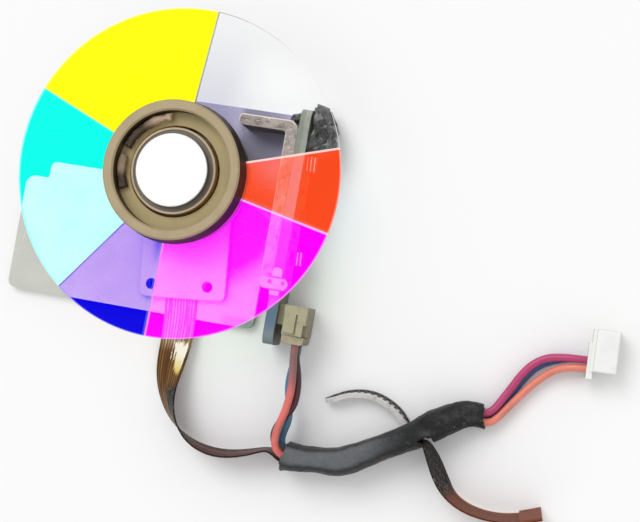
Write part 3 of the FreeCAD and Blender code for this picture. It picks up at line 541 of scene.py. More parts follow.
# %% [markdown]
# ## The black sleeve
# Heat-shrunk tube pulled over wires and flex: oval, slightly lumpy where it follows what is in it, cut off
# roughly at both ends. Rings of points are laid along a smooth line through the measured stations, pushed in
# and out a little by smooth noise, and the wall is given its thickness by a Solidify modifier.

# %% Sleeve stations
SLEEVE = [
    (22.75, -38.98, -8, 4.15, 6.75), (24.4, -39.05, 0, 4.0, 6.6), (27.8, -38.8, 10, 3.8, 6.4),
    (31.5, -38.2, 20, 4.3, 6.4), (36.9, -35.2, 29, 3.8, 6.3), (40.7, -32.9, 32, 4.0, 6.3),
    (44.2, -30.4, 32, 4.6, 5.6), (47.3, -28.5, 22, 4.1, 4.6), (49.1, -27.95, 8, 3.8, 4.0),
    (51.05, -28.0, 10, 3.6, 3.6)]
SLEEVE_WALL = 0.32


def smooth_row(rows, steps):
    """A smooth line through rows of numbers, with steps between each pair."""
    out = []
    for i in range(len(rows) - 1):
        a, b = rows[max(i - 1, 0)], rows[i]
        c, d = rows[i + 1], rows[min(i + 2, len(rows) - 1)]
        for s in range(steps):
            t = s / steps
            out.append([0.5 * (2 * q + (r - p) * t + (2 * p - 5 * q + 4 * r - w) * t * t
                        + (3 * q - p - 3 * r + w) * t ** 3) for p, q, r, w in zip(a, b, c, d)])
    out.append(list(rows[-1]))
    return out


print("rows of the sleeve", len(smooth_row(SLEEVE, 11)))

# %% Sleeve mesh
AROUND = 36
SQUARENESS = 2 / 2.9
TORN_ROWS = 9
FLARED = range(17, 23)
# Place and radius of the slits for flex and tail, and the heights between which they cut.
SLITS = [(43.45, -33.3, 1.05, 0.15, 5.95), (39.8, -31.2, 0.8, -1.0, 2.6)]


def sleeve_point(i, k, station, count):
    """Point k of ring i: a soft-cornered oval, uneven by noise and torn at the ends."""
    x, y, heading, width, height = station
    turn = math.radians(heading)
    side = Vector((-math.sin(turn), math.cos(turn), 0))
    angle = 2 * math.pi * k / AROUND
    c, s = math.cos(angle), math.sin(angle)
    u = math.copysign(abs(c) ** SQUARENESS, c) * width / 2
    v = math.copysign(abs(s) ** SQUARENESS, s) * height / 2
    place = Vector((x, y, height / 2)) + side * u + Vector((0, 0, v))
    outward = (side * u / width + Vector((0, 0, v / height))).normalized()
    swell = noise.noise(place * 0.45) * 0.16 + noise.noise(place * 1.3 + Vector((7, 3, 1))) * 0.07
    place += outward * (min(swell, 0.12) - 0.02)
    to_end = min(i, count - 1 - i)
    if to_end < TORN_ROWS:
        share = 1 - to_end / TORN_ROWS
        left = i < TORN_ROWS
        torn = abs(noise.noise(Vector((k * 0.45, 0.0 if left else 9.0, 2.0))))
        place += Vector((side.y, -side.x, 0)) * (share * torn if left else -share * torn)
        if left and k in FLARED:
            place += outward * share * 0.3
    place.z = max(place.z, 0.0)
    return place * MM


def in_slit(centre):
    return any(math.hypot(centre.x - x, centre.y - y) < radius and low < centre.z < high
               for x, y, radius, low, high in SLITS)


def sleeve_mesh():
    stations = smooth_row(SLEEVE, 11)
    points = [sleeve_point(i, k, station, len(stations))
              for i, station in enumerate(stations) for k in range(AROUND)]
    faces = [face for face in ring_faces(len(stations), AROUND)
             if not in_slit(sum((points[f] for f in face), Vector()) / 4 / MM)]
    mesh = bpy.data.meshes.new("sleeve_black")
    mesh.from_pydata([tuple(p) for p in points], [], faces)
    mesh.polygons.foreach_set("use_smooth", [True] * len(mesh.polygons))
    made = put_in_scene("sleeve_black", mesh)
    wall = made.modifiers.new("wall", "SOLIDIFY")
    wall.thickness = SLEEVE_WALL * MM
    wall.offset = -1
    wall.use_even_offset = True
    return made

# %% [markdown]
# ## The sleeve's finish
# Black rubber with a painted sheen: its top is painted greyer at the left and in patches at the right end,
# where light falls on it. Its underside and front flank are painted darker as shade and stay black, and the
# right end is wrinkled. Noise gives the clouds and specks, and a deep bump the wrinkles.

# %% Sleeve finish
def sleeve_finish():
    paint = Paint("sleeve_rubber")
    x = paint.xyz[0]
    cloud = paint.noise(0.3, 4)
    _, front, facing = paint.normal
    # Painted sheen: top faces at the left painted greyer, where light falls on them.
    painted_top_sheen = x.ramp(41.0, 33.0) * facing.ramp(0.3, 0.8)
    tint = paint.mix(cloud.ramp(0.35, 0.65), srgb(10, 11, 11), srgb(28, 30, 30))
    specks = paint.noise(1.6, 5, 0.75).ramp(0.6, 0.7) * paint.noise(0.35, 2).ramp(0.42, 0.6)
    # Painted sheen: patches on the top at the right end painted lighter, where light falls.
    painted_sheen_patches = paint.noise(0.42, 4, 0.6).ramp(0.45, 0.7) * facing.ramp(0.6, 0.95) * x.ramp(41.0, 44.0)
    # Painted shade: the front flank and the underside are painted darker.
    flank = front.ramp(0.0, -0.5)
    dark = (facing.ramp(0.15, -0.4) + flank).held() * 0.85
    speck = srgb(150, 152, 148)
    tint = paint.over(tint, (painted_top_sheen * 0.8, srgb(108, 112, 115)), (specks * 0.6, speck),
                      (painted_sheen_patches * 0.5, srgb(96, 98, 93)), (dark, srgb(14, 16, 16)),
                      (specks * flank * 0.6, speck))
    folds = paint.noise(0.8, 5, 0.65, warp=0.8)
    wrinkles = paint.noise(1.6, 4, 0.6, warp=0.4) * x.ramp(36.0, 46.0)
    return paint.skin({
        "Base Color": tint, "Roughness": 0.34 + cloud * 0.2, "Specular IOR Level": 0.35,
        "Normal": paint.bump(folds + wrinkles * 1.4, 0.9, 0.5)})


sleeve = sleeve_mesh()
sleeve.data.materials.append(sleeve_finish())
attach(sleeve, "bracket")
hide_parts("harness_sleeve")
print("sleeve faces", len(sleeve.data.polygons))

# %% [markdown]
# ## The cable tie's free tail
# A strip of grey nylon with a ladder moulded into its inner face. The rungs repeat at an even pitch, so a
# small Geometry Nodes tree sets them along a line. The class below builds a tree with named inputs.

# %% Geometry Nodes tree
class Tree:
    """A Geometry Nodes tree with a named input for each size in millimetres."""

    def __init__(self, name, sizes):
        self.group = bpy.data.node_groups.new(name, "GeometryNodeTree")
        self.group.interface.new_socket("Geometry", in_out="INPUT", socket_type="NodeSocketGeometry")
        self.sizes = {}
        for label, size in sizes.items():
            item = self.group.interface.new_socket(label, in_out="INPUT", socket_type="NodeSocketFloat")
            self.sizes[item.identifier] = size * MM
        self.group.interface.new_socket("Geometry", in_out="OUTPUT", socket_type="NodeSocketGeometry")
        self.source = self.group.nodes.new("NodeGroupInput")
        self.target = self.group.nodes.new("NodeGroupOutput")

    def add(self, kind, settings=None, inputs=None):
        return new_node(self.group, kind, settings, inputs)

    def close(self, geometry, material):
        real = self.add("GeometryNodeRealizeInstances", None, {"Geometry": geometry})
        dressed = self.add("GeometryNodeSetMaterial", None,
                           {"Geometry": real.outputs[0], "Material": material})
        self.group.links.new(dressed.outputs[0], self.target.inputs[0])

# %% Grow and join
def baked(made):
    """An object's mesh as its modifiers leave it, which are then taken off."""
    mesh = bpy.data.meshes.new_from_object(made.evaluated_get(bpy.context.evaluated_depsgraph_get()))
    made.modifiers.clear()
    return mesh


def grown(name, base, tree):
    """Run a tree on a base mesh and keep the result as a plain mesh."""
    carrier = put_in_scene(name + "_carrier", base)
    modifier = carrier.modifiers.new("grow", "NODES")
    modifier.node_group = tree.group
    for socket, size in tree.sizes.items():
        modifier[socket] = size
    mesh = baked(carrier)
    bpy.data.objects.remove(carrier)
    mesh.name = name
    print(name, "faces", len(mesh.polygons))
    return put_in_scene(name, mesh)


def join(name, objects):
    """One mesh from several, with their materials kept."""
    work = bmesh.new()
    materials = []
    for one in objects:
        start = len(work.faces)
        work.from_mesh(one.data)
        work.faces.ensure_lookup_table()
        for face in work.faces[start:]:
            finish = one.data.materials[face.material_index]
            if finish not in materials:
                materials.append(finish)
            face.material_index = materials.index(finish)
    mesh = bpy.data.meshes.new(name)
    work.to_mesh(mesh)
    work.free()
    for finish in materials:
        mesh.materials.append(finish)
    for one in objects:
        bpy.data.objects.remove(one)
    return put_in_scene(name, mesh)

# %% [markdown]
# ## Moulded plastic
# Nylon is one colour all through. Clouds of grime, a fine grain and sides painted darker than the tops as
# shade make it look real. One function makes every plastic piece here, and the tie comes first.

# %% Moulded finish
def moulded(name, tone, shade, rough=0.45, grain=0.25, dirt=0.35, spots=0.5, side_shade_tone=None):
    paint = Paint(name)
    grime = paint.noise(spots, 5, 0.65).ramp(0.45, 0.75)
    fine = paint.noise(5.0, 3, 0.6)
    tint = paint.mix(grime * dirt, tone, shade)
    # Upright sides painted darker, as painted shade.
    if side_shade_tone:
        tint = paint.mix(paint.walls() * 0.85, tint, side_shade_tone)
    return paint.skin({
        "Base Color": tint, "Roughness": rough + fine * 0.15 + grime * 0.1,
        "Normal": paint.bump(fine + paint.noise(0.8, 3), grain, 0.06)})

# %% Edges of the tail
TAIL = [
    (27.1, -30.0, 0.2, 101), (28.5, -29.35, 0.2, 102), (30.1, -28.5, 0.2, 104), (32.2, -27.95, 0.2, 106),
    (34.3, -27.95, 0.2, 108), (36.3, -28.55, 0.2, 109), (38.0, -29.5, 0.2, 110), (39.1, -30.45, 0.2, 106),
    (39.85, -31.3, 0.2, 100)]
TAIL_WIDTH = 2.0
TIP = 2.2
TIP_PINCH = 0.38
tail_low, tail_high = edge_routes(TAIL, TAIL_WIDTH)
tail_a = nurbs_points("tail_low", tail_low)
tail_b = nurbs_points("tail_high", tail_high)
tail_run = 0.0
for i in range(len(tail_a)):
    if i:
        tail_run += (tail_a[i] - tail_a[i - 1]).length / MM
    pinch = max(0.0, 1 - tail_run / TIP) * TIP_PINCH
    tail_a[i], tail_b[i] = tail_a[i].lerp(tail_b[i], pinch), tail_b[i].lerp(tail_a[i], pinch)
print("points of the tail", len(tail_a))

# %% Back and rails
tie_grey = moulded("tie_nylon", srgb(214, 213, 209), srgb(118, 116, 113), 0.4, 0.3, 0.5, 1.2)
# Painted shade: the rungs and the lower rail get this dark grey, as the shadow between the teeth and along
# that rail.
tie_dark = moulded("tie_painted_shade", srgb(66, 64, 62), srgb(34, 33, 32), 0.5, 0.3, 0.6, 1.2)
# Shares of the width from and to, depths from and to, and the finish.
STRIPS = {
    "back": (0.0, 1.0, -0.1, 0.35, tie_grey), "rail_low": (0.0, 0.2, -0.35, -0.1, tie_dark),
    "rail_high": (0.8, 1.0, -0.35, -0.1, tie_grey)}
strips = []
for label, (low, high, near, far, finish) in STRIPS.items():
    line_a = [p.lerp(q, low) for p, q in zip(tail_a, tail_b)]
    line_b = [p.lerp(q, high) for p, q in zip(tail_a, tail_b)]
    strip = strip_mesh("tie_" + label, line_a, line_b, near * MM, far * MM, 2)[0]
    strip.data.materials.append(finish)
    strips.append(strip)
print("strips", len(strips))

# %% Rungs
rungs = Tree("rungs_along_a_line", {"Pitch": 0.95, "Thick": 0.4, "Wide": 1.3, "Deep": 0.3})
given = rungs.source.outputs
line = rungs.add("GeometryNodeMeshToCurve", None, {"Mesh": given["Geometry"]})
dots = rungs.add("GeometryNodeResampleCurve", {"mode": "LENGTH"},
                 {"Curve": line.outputs[0], "Length": given["Pitch"]})
size = rungs.add("ShaderNodeCombineXYZ", None, {0: given["Thick"], 1: given["Deep"], 2: given["Wide"]})
block = rungs.add("GeometryNodeMeshCube", None, {"Size": size.outputs[0]})
tangent = rungs.add("GeometryNodeInputTangent")
turn = rungs.add("FunctionNodeAlignRotationToVector", {"axis": "X", "pivot_axis": "Z"},
                 {"Vector": tangent.outputs[0]})
lean = rungs.add("GeometryNodeInputNamedAttribute", {"data_type": "FLOAT_VECTOR"}, {"Name": "lean"})
tilted = rungs.add("FunctionNodeAlignRotationToVector", {"axis": "Z", "pivot_axis": "X"},
                   {"Rotation": turn.outputs[0], "Vector": lean.outputs[0]})
placed = rungs.add("GeometryNodeInstanceOnPoints", None,
                   {"Points": dots.outputs[0], "Instance": block.outputs[0], "Rotation": tilted.outputs[0]})
# The rungs take the dark grey of painted shade.
rungs.close(placed.outputs[0], tie_dark)
print("nodes of the tree", len(rungs.group.nodes))

# %% Set the rungs and join the tail
PLAIN_TIP = 6
RUNG_DEPTH = 0.2
middles = []
for i, (a, b) in enumerate(zip(tail_a, tail_b)):
    behind, ahead = neighbours(tail_a, i)
    heading = (ahead - behind).normalized()
    normal = heading.cross((b - a).normalized()).normalized()
    middles.append((a + b) / 2 - normal * RUNG_DEPTH * MM)
middles = middles[PLAIN_TIP:]
guide = bpy.data.meshes.new("tail_guide")
guide.from_pydata([tuple(p) for p in middles], [(i, i + 1) for i in range(len(middles) - 1)], [])
leans = guide.attributes.new("lean", "FLOAT_VECTOR", "POINT")
for i, (a, b) in enumerate(zip(tail_a[PLAIN_TIP:], tail_b[PLAIN_TIP:])):
    leans.data[i].vector = (b - a).normalized()
teeth = grown("tie_teeth", guide, rungs)
tail = join("tie_tail_ladder", strips + [teeth])
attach(tail, "bracket")
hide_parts("tie_tail")
print("tail faces", len(tail.data.polygons))

# %% [markdown]
# ## Coated glass
# Each segment's upper face mirrors one colour and lets the rest through. Over the dark ground only the
# mirrored colour is left; over bright metal the passed rest adds to it, so the colour turns pale. The cut
# edges look milky. Light on its way down is tinted less, as if it came in from the sides too.

# %% Filters
# The mirrored colour, the passed one and its strength, the angles of its two seams and how milky they are.
FILTERS = {
    "yellow": ((1.0, 1.0, 0.003), (0.0, 0.02, 1.0), 2.0, ((85.0, 0.04), (157.3, 0.04))),
    "cyan": ((0.0, 1.0, 0.84), (1.0, 0.05, 0.3), 2.5, ((157.3, 0.04), (232.7, 0.04))),
    "blue": ((0.0, 0.0, 0.76), (1.0, 0.72, 0.3), 2.4, ((232.7, 0.02), (268.9, 0.12))),
    "magenta": ((1.0, 0.0, 1.0), (0.02, 1.0, 0.02), 1.45, ((268.9, 0.2), (347.5, 0.55))),
    "red": ((0.95, 0.07, 0.013), (0.03, 0.9, 0.95), 1.5, ((-12.5, 0.08), (17.1, 0.75)))}


def milky_edges(seams, x, y, radius):
    """Pale lines along the rim and the two seams of a segment."""
    milky = radius.ramp(24.78, 24.9) * 0.25
    for angle, amount in seams:
        turn = math.radians(angle)
        off = (x * math.sin(turn) - y * math.cos(turn)).size()
        milky = milky + off.ramp(0.36, 0.26) * amount
    return milky.held()


def mirror_coat(paint, mirrored, milky):
    """Its own light stands for the bright room that the mirror would show."""
    drift = paint.noise(0.09, 2).ramp(0.3, 0.8) * 0.08
    tone = paint.mix(drift, (*mirrored, 1), [v * 0.8 for v in mirrored] + [1])
    tone = paint.mix(milky, tone, [0.6 + 0.4 * v for v in mirrored] + [1])
    return paint.surface({"Base Color": tone, "Metallic": 1.0, "Roughness": 0.04 + paint.noise(0.6, 3) * 0.03,
                          "Emission Color": tone, "Emission Strength": 0.92})


print("filters", list(FILTERS))

# %% Coated glass finish
GLASS_MIDDLE = 8.6
NEARLY_ALL = 0.97


def ground_edge(paint, tone, rough):
    """Cut glass seen on its edge, a little see-through."""
    ground = paint.surface({"Base Color": tone, "Roughness": rough,
                            "Normal": paint.bump(paint.noise(6.0, 3), 0.4, 0.05)})
    return paint.blend(NEARLY_ALL, paint.clear((1, 1, 1, 1)), ground)


def coated_glass(colour):
    mirrored, passed, strength, seams = FILTERS[colour]
    paint = Paint("glass_" + colour)
    x, y, z = paint.xyz
    radius = radius_of(x, y)
    wall = 1 - paint.facing.size().above(0.5)
    on_top = z.above(GLASS_MIDDLE) * (1 - wall)
    milky = milky_edges(seams, x, y, radius) * on_top
    edge = ground_edge(paint, [0.4 * v + 0.57 for v in mirrored] + [1], 0.55)
    # Dark brown glue by the hub, painted darker as the shade of the gap between ring and hub.
    glue_and_gap_shade_tone = paint.mix(paint.noise(0.8, 3), srgb(58, 40, 24), srgb(90, 66, 42))
    glue_and_gap_shade = paint.surface({"Base Color": glue_and_gap_shade_tone, "Roughness": 0.6})
    deep = paint.clear([v * strength for v in passed] + [1])
    soft = paint.clear([0.85 + 0.15 * v for v in passed] + [1])
    empty = paint.clear((1, 1, 1, 1))
    top = paint.blend(0.6 + milky * 0.3, deep, mirror_coat(paint, mirrored, milky))
    seen = paint.blend(wall, paint.blend(on_top, empty, top), edge)
    rays = paint.node("ShaderNodeLightPath")
    lit = (Field(paint, rays.outputs["Is Shadow Ray"]) + Field(paint, rays.outputs["Is Diffuse Ray"])).held()
    seen = paint.blend(lit, seen, paint.blend(on_top, empty, soft))
    return paint.done(paint.blend(radius.ramp(7.35, 7.2), seen, glue_and_gap_shade))


for colour in FILTERS:
    wear("filter_" + colour, coated_glass(colour))
print("glasses dressed", len(FILTERS))

# %% [markdown]
# ## The clear segment
# The sixth segment has no coating. Plain glass darkens what lies under it when light has to find its way
# down, so a shadow ray passes freely, and only what is seen is bent a little.

# %% Clear segment
def clear_glass():
    paint = Paint("glass_clear")
    wall = 1 - paint.facing.size().above(0.5)
    shadow = paint.out("Is Shadow Ray", "ShaderNodeLightPath")
    pane = paint.surface({"Base Color": (0.99, 0.995, 0.995, 1), "Roughness": 0.0, "IOR": 1.2,
                          "Transmission Weight": 1.0})
    edge = ground_edge(paint, (0.96, 0.97, 0.97, 1), 0.6)
    return paint.done(paint.blend(shadow, paint.blend(wall, pane, edge), paint.clear((1, 1, 1, 1))))


wear("filter_clear", clear_glass())
print("clear segment dressed")

# %% [markdown]
# ## Pressed metal
# The plate and the motor's base are plated sheet, with a faint grain and a few scratches. The plate greys
# towards its outside, is bluish near the sensor, and is painted dark as the shade between motor and board.

# %% Plate finish
def sheet_marks(paint):
    """Long fine marks from rolling."""
    return paint.noise(1.4, 4, 0.6, paint.stretched(paint.place, (0.35, 6.0, 6.0)))


def scratched(paint):
    return paint.cells(0.16).ramp(0.012, 0.0)


def worked(paint, base, metallic, rough, marks, cuts=0.0):
    """Metal with the marks of its making; cuts lie deeper."""
    return paint.skin({
        "Base Color": base, "Metallic": metallic, "Roughness": rough + marks * 0.16,
        "Normal": paint.bump(marks + paint.noise(3.5, 3) * 0.4 - cuts, 0.3, 0.05)})


def plate_finish():
    paint = Paint("plate_zinc")
    x, y, _ = paint.xyz
    base = paint.mix(paint.noise(0.22, 4).ramp(0.3, 0.75) * 0.6, srgb(200, 201, 193), srgb(184, 185, 177))
    # Painted shade: the plate is dark between the motor and the board.
    shade = x.ramp(6.0, 7.5) * radius_of(x, y).ramp(19.5, 15.5) * (0.45 + y.ramp(4.0, -2.0) * 0.5)
    below_plug = x.ramp(8.0, 10.0) * y.ramp(-19.4, -20.4)
    lines = scratched(paint)
    base = paint.over(base, ((x * 0.6 + y).ramp(5.0, 14.0) * 0.85, srgb(160, 154, 192)),
                      (shade, srgb(44, 34, 56)), (below_plug, srgb(140, 164, 150)),
                      (lines * 0.15, (0.85, 0.84, 0.82, 1)))
    return worked(paint, base, 0.4, 0.42, sheet_marks(paint), lines * 0.3)

# %% Metal finish
def metal(name, tone, shade, wall_shade_tone=None, rough=0.32, turned=False, scratch=0.3, metallic=0.85, mottle=0.0,
          painted_bevel_tone=None, dimples=(), shaded=None):
    paint = Paint(name)
    x, y, z = paint.xyz
    base = paint.mix(paint.noise(0.22, 4).ramp(0.3, 0.75) * 0.6, tone, shade)
    if mottle:
        base = paint.over(base, (paint.noise(0.9, 5, 0.7).ramp(0.5, 0.62) * mottle, srgb(84, 74, 70)),
                          (paint.noise(1.7, 4, 0.6).ramp(0.58, 0.68) * mottle, srgb(226, 224, 220)))
    marks = paint.lathe_marks(radius_of(x, y), z) if turned else sheet_marks(paint)
    # Upright faces painted darker, as painted shade on the walls.
    if wall_shade_tone:
        base = paint.mix(paint.walls(), base, wall_shade_tone)
    # Bevels in their own tone: worn edges painted bright as a highlight on the holder, a painted shade
    # outline on the clip.
    if painted_bevel_tone:
        bevel = paint.facing.ramp(0.5, 0.62) * paint.facing.ramp(0.95, 0.85)
        base = paint.mix(bevel * 0.8, base, painted_bevel_tone)
    # Painted shade near the motor.
    if shaded:
        near = radius_of(x, y).ramp(*shaded) * x.ramp(-4.0, -2.5)
        base = paint.mix(near * 0.75, base, (0.05, 0.045, 0.06, 1))
    # Dimples painted dark as the shade in them, and dark lines as the clip's painted shadow outline.
    for dimple_x, dimple_y in dimples:
        off = radius_of(x - dimple_x, y - dimple_y)
        rim = ((y - dimple_y + 0.2).size() - 0.95).size().ramp(0.16, 0.06)
        dark = srgb(60, 52, 62)
        base = paint.over(base, (off.ramp(0.42, 0.24) * 0.8, dark), (rim * 0.6, dark))
    lines = scratched(paint)
    base = paint.mix(lines * scratch * 0.5, base, (0.85, 0.84, 0.82, 1))
    return worked(paint, base, metallic, rough + lines * 0.1, marks, lines * scratch)

# %% [markdown]
# ## Turned metal
# Ring and hub came off a lathe, so their marks run round the axis and their tones change with the radius.
# Each piece gives its own function that lays those zones.

# %% Ring and hub
def turned_metal(name, zones, roughness, metallic):
    paint = Paint(name)
    x, y, z = paint.xyz
    radius = radius_of(x, y)
    base = zones(paint, radius, z, paint.walls())
    base = paint.mix(paint.noise(0.25, 4).ramp(0.35, 0.75) * 0.14, base, (0.1, 0.08, 0.05, 1))
    return worked(paint, base, metallic, roughness, paint.lathe_marks(radius, z))


def ring_zones(paint, radius, z, wall):
    """Tan channel, greyish rim, walls painted dark as shade over their brown, bore painted pale against gap
    shade.
    """
    base = paint.mix(radius.ramp(8.7, 9.1), srgb(184, 167, 120), srgb(178, 160, 126))
    # Walls painted dark as shade, darkest outside, over their own darker brown.
    walls = paint.mix(radius.ramp(9.2, 9.6), srgb(78, 60, 34), srgb(38, 24, 14))
    # The bore by the hub painted pale, to lift the shade of the narrow gap.
    walls = paint.mix(radius.ramp(7.6, 7.2), walls, srgb(255, 226, 160))
    return paint.mix(wall, base, walls)


def hub_zones(paint, radius, z, wall):
    """Grey-brown shelf, a light lip round it, its side painted golden against the gap's shade, grey sides
    below.
    """
    base = paint.mix(radius.ramp(6.1, 6.25), srgb(116, 107, 98), srgb(186, 170, 142))
    # The hub's side in the gap painted golden, to lift the shade there.
    base = paint.mix(wall * z.ramp(10.3, 10.2), base, srgb(222, 182, 104))
    return paint.mix(z.ramp(8.2, 8.0), base, srgb(170, 160, 148))

# %% Dress the metal
wear("clamp_ring", turned_metal("ring_warm", ring_zones, 0.48, 0.2))
wear("rotor_cup", turned_metal("hub_turned", hub_zones, 0.4, 0.4))
wear("bracket_plate", plate_finish())
# The third colour given to metal() paints its upright faces darker, as painted shade.
wear("motor_base", metal("base_plated", srgb(206, 203, 202), srgb(188, 185, 184), srgb(120, 118, 120), 0.38,
                         metallic=0.45, shaded=(15.5, 9.5)))
# The holder's bevels are worn edges painted bright as a highlight.
wear("sensor_holder", metal("holder_cast", srgb(176, 166, 158), srgb(96, 86, 82), srgb(66, 64, 68), 0.5,
                            scratch=0.2, metallic=0.4, mottle=0.6, painted_bevel_tone=srgb(232, 222, 214)))
# The clip's bevels and dimples are painted dark as shade.
wear("board_clip", metal("clip_spring", srgb(196, 196, 200), srgb(150, 150, 154), srgb(60, 60, 64), 0.34,
                         scratch=0.2, metallic=0.4, painted_bevel_tone=srgb(70, 66, 72),
                         dimples=[(16.75, -13.75), (18.75, -13.75)]))
# Finish, tone, darker tone, roughness, and whether it was turned.
TIN = ((205, 205, 200), (180, 180, 176), 0.3, False)
SMALL_METAL = {
    "motor_screws": ("screw_dark", (90, 90, 94), (60, 60, 64), 0.4, False),
    "shaft": ("shaft_ground", (205, 205, 208), (180, 180, 184), 0.15, True),
    "bearing_sleeve": ("bearing_bronze", (176, 138, 84), (140, 104, 60), 0.5, True),
    "stator_core": ("lamination", (90, 90, 96), (60, 60, 66), 0.5, False),
    "stator_coils": ("copper_wire", (190, 104, 58), (150, 70, 40), 0.35, True),
    "flex_contacts": ("contact_gold", (228, 190, 110), (200, 160, 90), 0.25, False),
    "sensor_leads": ("lead_tin", *TIN), "socket_pins": ("pin_tin", *TIN),
    "end_terminals": ("terminal_tin", *TIN)}
for node_name, (name, tone, shade, rough, turned) in SMALL_METAL.items():
    wear(node_name, metal(name, srgb(*tone), srgb(*shade), None, rough, turned))
print("small metal pieces", len(SMALL_METAL))

# %% [markdown]
# ## Moulded pieces
# Nylon housings age to cream and pick up grime, and their sides are painted darker as shade. The disc on the
# hub is glossy and nearly white, with its side painted grey as shade.

# %% Dress the plastics
# The cap's last colour is the painted shade of its side.
wear("hub_cap", moulded("cap_white", (0.99, 0.99, 0.98, 1), srgb(245, 243, 238), 0.25, 0.06, 0.1, 0.3,
                        srgb(126, 120, 114)))
# Finish, tone, darker tone, the painted shade tone of the sides, then roughness, grain, dirt and how fine its
# spots are.
AGED = (0.5, 0.3, 0.5, 0.7)
HOUSINGS = {
    "board_socket": ("socket_cream", (168, 162, 132), (132, 128, 100), (120, 112, 90), *AGED),
    "sensor_plug": ("plug_cream", (166, 158, 130), (128, 118, 92), (122, 110, 88), *AGED),
    "end_connector": ("connector_white", (240, 241, 238), (208, 211, 204), (198, 200, 190),
                      0.4, 0.2, 0.3, 0.6)}
for node_name, (name, tone, shade, side, *amounts) in HOUSINGS.items():
    wear(node_name, moulded(name, srgb(*tone), srgb(*shade), *amounts, srgb(*side)))
SMALL_PLASTIC = {
    "thrust_plate": ("thrust_nylon", (226, 222, 208), (190, 186, 170), 0.45),
    "flex_stiffener": ("stiffener_amber", (122, 60, 34), (92, 44, 26), 0.5),
    "rotor_magnet": ("magnet_dark", (56, 56, 60), (36, 36, 40), 0.6),
    "photo_sensor": ("chip_black", (36, 36, 38), (22, 22, 24), 0.35),
    "index_mark": ("mark_black", (24, 24, 24), (14, 14, 14), 0.8)}
for node_name, (name, tone, shade, rough) in SMALL_PLASTIC.items():
    wear(node_name, moulded(name, srgb(*tone), srgb(*shade), rough))
print("plastic pieces", len(HOUSINGS) + len(SMALL_PLASTIC) + 1)

# %% [markdown]
# ## The sensor's board
# The board stands on edge, so its cut edge shows: layers of glass fibre with a pale grain, and along it bands
# painted in other tones as the light and shade under the glass segments above. Its two tall packages show
# three leads each, painted bright as highlights.

# %% Board finishes
def component_finish():
    paint = Paint("component_black")
    x, y, z = paint.xyz
    on_tall = (y - 4.6).size().ramp(1.15, 1.05) + (y + 9.7).size().ramp(1.0, 0.9)
    leaning = x - 19.75 + y * 0.06
    # Three leads on each tall package, painted near white as highlights.
    three = leaning.size().ramp(0.85, 0.75)
    lead = (leaning * 11.42).math("COSINE").ramp(0.55, 0.85) * three
    lead = lead * on_tall.held() * z.above(3.0) * 0.8
    grain = paint.noise(3.0, 4)
    black = paint.mix(grain, srgb(26, 25, 26), srgb(12, 12, 12))
    return paint.skin({
        "Base Color": paint.mix(lead, black, srgb(236, 232, 224)), "Metallic": lead * 0.3,
        "Roughness": 0.45 + grain * 0.2, "Normal": paint.bump(grain + lead, 0.4, 0.08)})


def laminate():
    """Green solder mask on the faces, and glass fibre layers on the cut edges."""
    paint = Paint("board_laminate")
    x, y, _ = paint.xyz
    sideways = paint.normal[0].size().above(0.5)
    layers = (x * 3.9).math("SINE").ramp(-0.6, 0.8)
    fibres = paint.noise(1.1, 5, 0.7)
    edge = paint.mix(layers * 0.5, srgb(128, 134, 124), srgb(162, 166, 154))
    low_end = paint.mix(y.ramp(-19.5, -22.0), srgb(88, 116, 138), srgb(122, 140, 138))
    # Painted light and shade: pinkish under the red glass, dark purple under the magenta; the lower end is
    # blue-grey.
    edge = paint.over(edge, (fibres.ramp(0.4, 0.7) * 0.45, srgb(104, 110, 104)),
                      (y.ramp(5.5, 3.5) * 0.85, srgb(150, 140, 152)),
                      (y.ramp(-3.5, -5.0) * 0.85, srgb(72, 48, 100)), (y.ramp(-15.0, -17.0) * 0.85, low_end))
    mask = paint.mix(fibres.ramp(0.3, 0.7), srgb(82, 80, 66), srgb(104, 102, 84))
    return paint.skin({
        "Base Color": paint.mix(sideways, edge, mask), "Roughness": 0.62 - sideways * 0.3,
        "Normal": paint.bump(fibres + layers * 0.4, 0.35, 0.08)})


wear("board_components", component_finish())
wear("sensor_board", laminate())
print("board dressed")

# %% [markdown]
# ## Poured and pressed lumps
# The black compound and the balancing putty are lumps: a copy of the solid is remeshed into small even
# faces, and noise moves every point inwards. The compound broke in flat chips, which Decimate leaves.

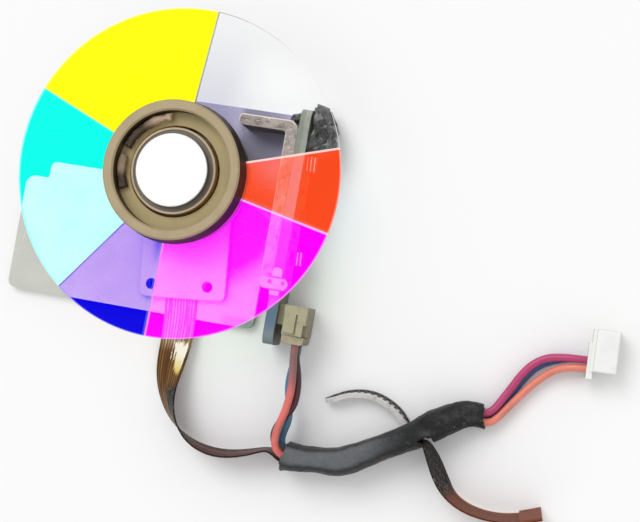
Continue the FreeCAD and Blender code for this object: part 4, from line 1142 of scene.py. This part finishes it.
# %% Lump helper
def lump(name, node_name, finish, voxel, coarse, fine, seed, facets=0.0):
    """An uneven copy of a CAD node, inside it; facets is the share of faces that a chipped one keeps."""
    mesh = nodes[node_name].data.copy()
    made = put_in_scene(name, mesh)
    work = bmesh.new()
    work.from_mesh(mesh)
    bmesh.ops.remove_doubles(work, verts=work.verts, dist=0.000002)
    work.to_mesh(mesh)
    work.free()
    remesh = made.modifiers.new("even", "REMESH")
    remesh.mode = "VOXEL"
    remesh.voxel_size = voxel * MM
    made.data = even = baked(made)
    shift = Vector((seed, seed * 0.7, -seed))
    normals = [v.normal.copy() for v in even.vertices]
    for vertex, normal in zip(even.vertices, normals):
        place = vertex.co / MM
        push = noise.noise(place * 0.55 + shift) * coarse + noise.noise(place * 1.9 + shift) * fine
        ridge = 1 - abs(noise.noise(place * 0.9 - shift)) * 4
        push += max(ridge, 0) * fine - fine
        vertex.co = (place + normal * min(push, 0.0)) * MM
    even.polygons.foreach_set("use_smooth", [not facets] * len(even.polygons))
    if facets:
        made.modifiers.new("facets", "DECIMATE").ratio = facets
        made.data = baked(made)
    made.data.materials.clear()
    made.data.materials.append(finish)
    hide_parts(node_name)
    return made

# %% Black compound
def compound():
    paint = Paint("seal_compound")
    cloud = paint.noise(0.5, 4)
    wrinkles = paint.cells(0.75).ramp(0.0, 0.35)
    tint = paint.mix(cloud.ramp(0.3, 0.7), srgb(20, 22, 21), srgb(66, 70, 66))
    return paint.skin({
        "Base Color": tint, "Roughness": 0.22 + cloud * 0.25, "Coat Weight": 0.5, "Coat Roughness": 0.15,
        "Normal": paint.bump(wrinkles + paint.noise(2.4, 4) * 0.4, 0.8, 0.3)})

# %% Putty
def putty_finish():
    """Pale along part of the first lump, grey-brown along the second, and painted dark elsewhere as shade."""
    paint = Paint("putty_brown")
    x, y, _ = paint.xyz
    angle = y.math("ARCTAN2", x * -1.0)
    grime = paint.noise(1.2, 4, 0.6)
    # Painted shade: dark where the lumps lie in shadow and in a pit.
    tint = paint.mix(angle.ramp(0.75, 1.15), srgb(70, 54, 38), srgb(198, 172, 146))
    tint = paint.over(tint, (angle.ramp(0.3, 0.2) * angle.ramp(-0.26, -0.12), srgb(150, 128, 104)),
                      (grime.ramp(0.45, 0.75) * 0.35, srgb(70, 56, 46)))
    return paint.skin({
        "Base Color": tint, "Roughness": 0.55 + grime * 0.2,
        "Normal": paint.bump(paint.noise(2.5, 4) + grime, 0.5, 0.08)})

# %% Set the lumps
seal = lump("seal_lump", "sensor_potting", compound(), 0.22, 0.7, 0.3, 3.0, 0.05)
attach(seal, "bracket")
putty = lump("putty_lumps", "balance_putty", putty_finish(), 0.12, 0.3, 0.12, 8.0)
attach(putty, "wheel")
print("putty faces", len(putty.data.polygons))
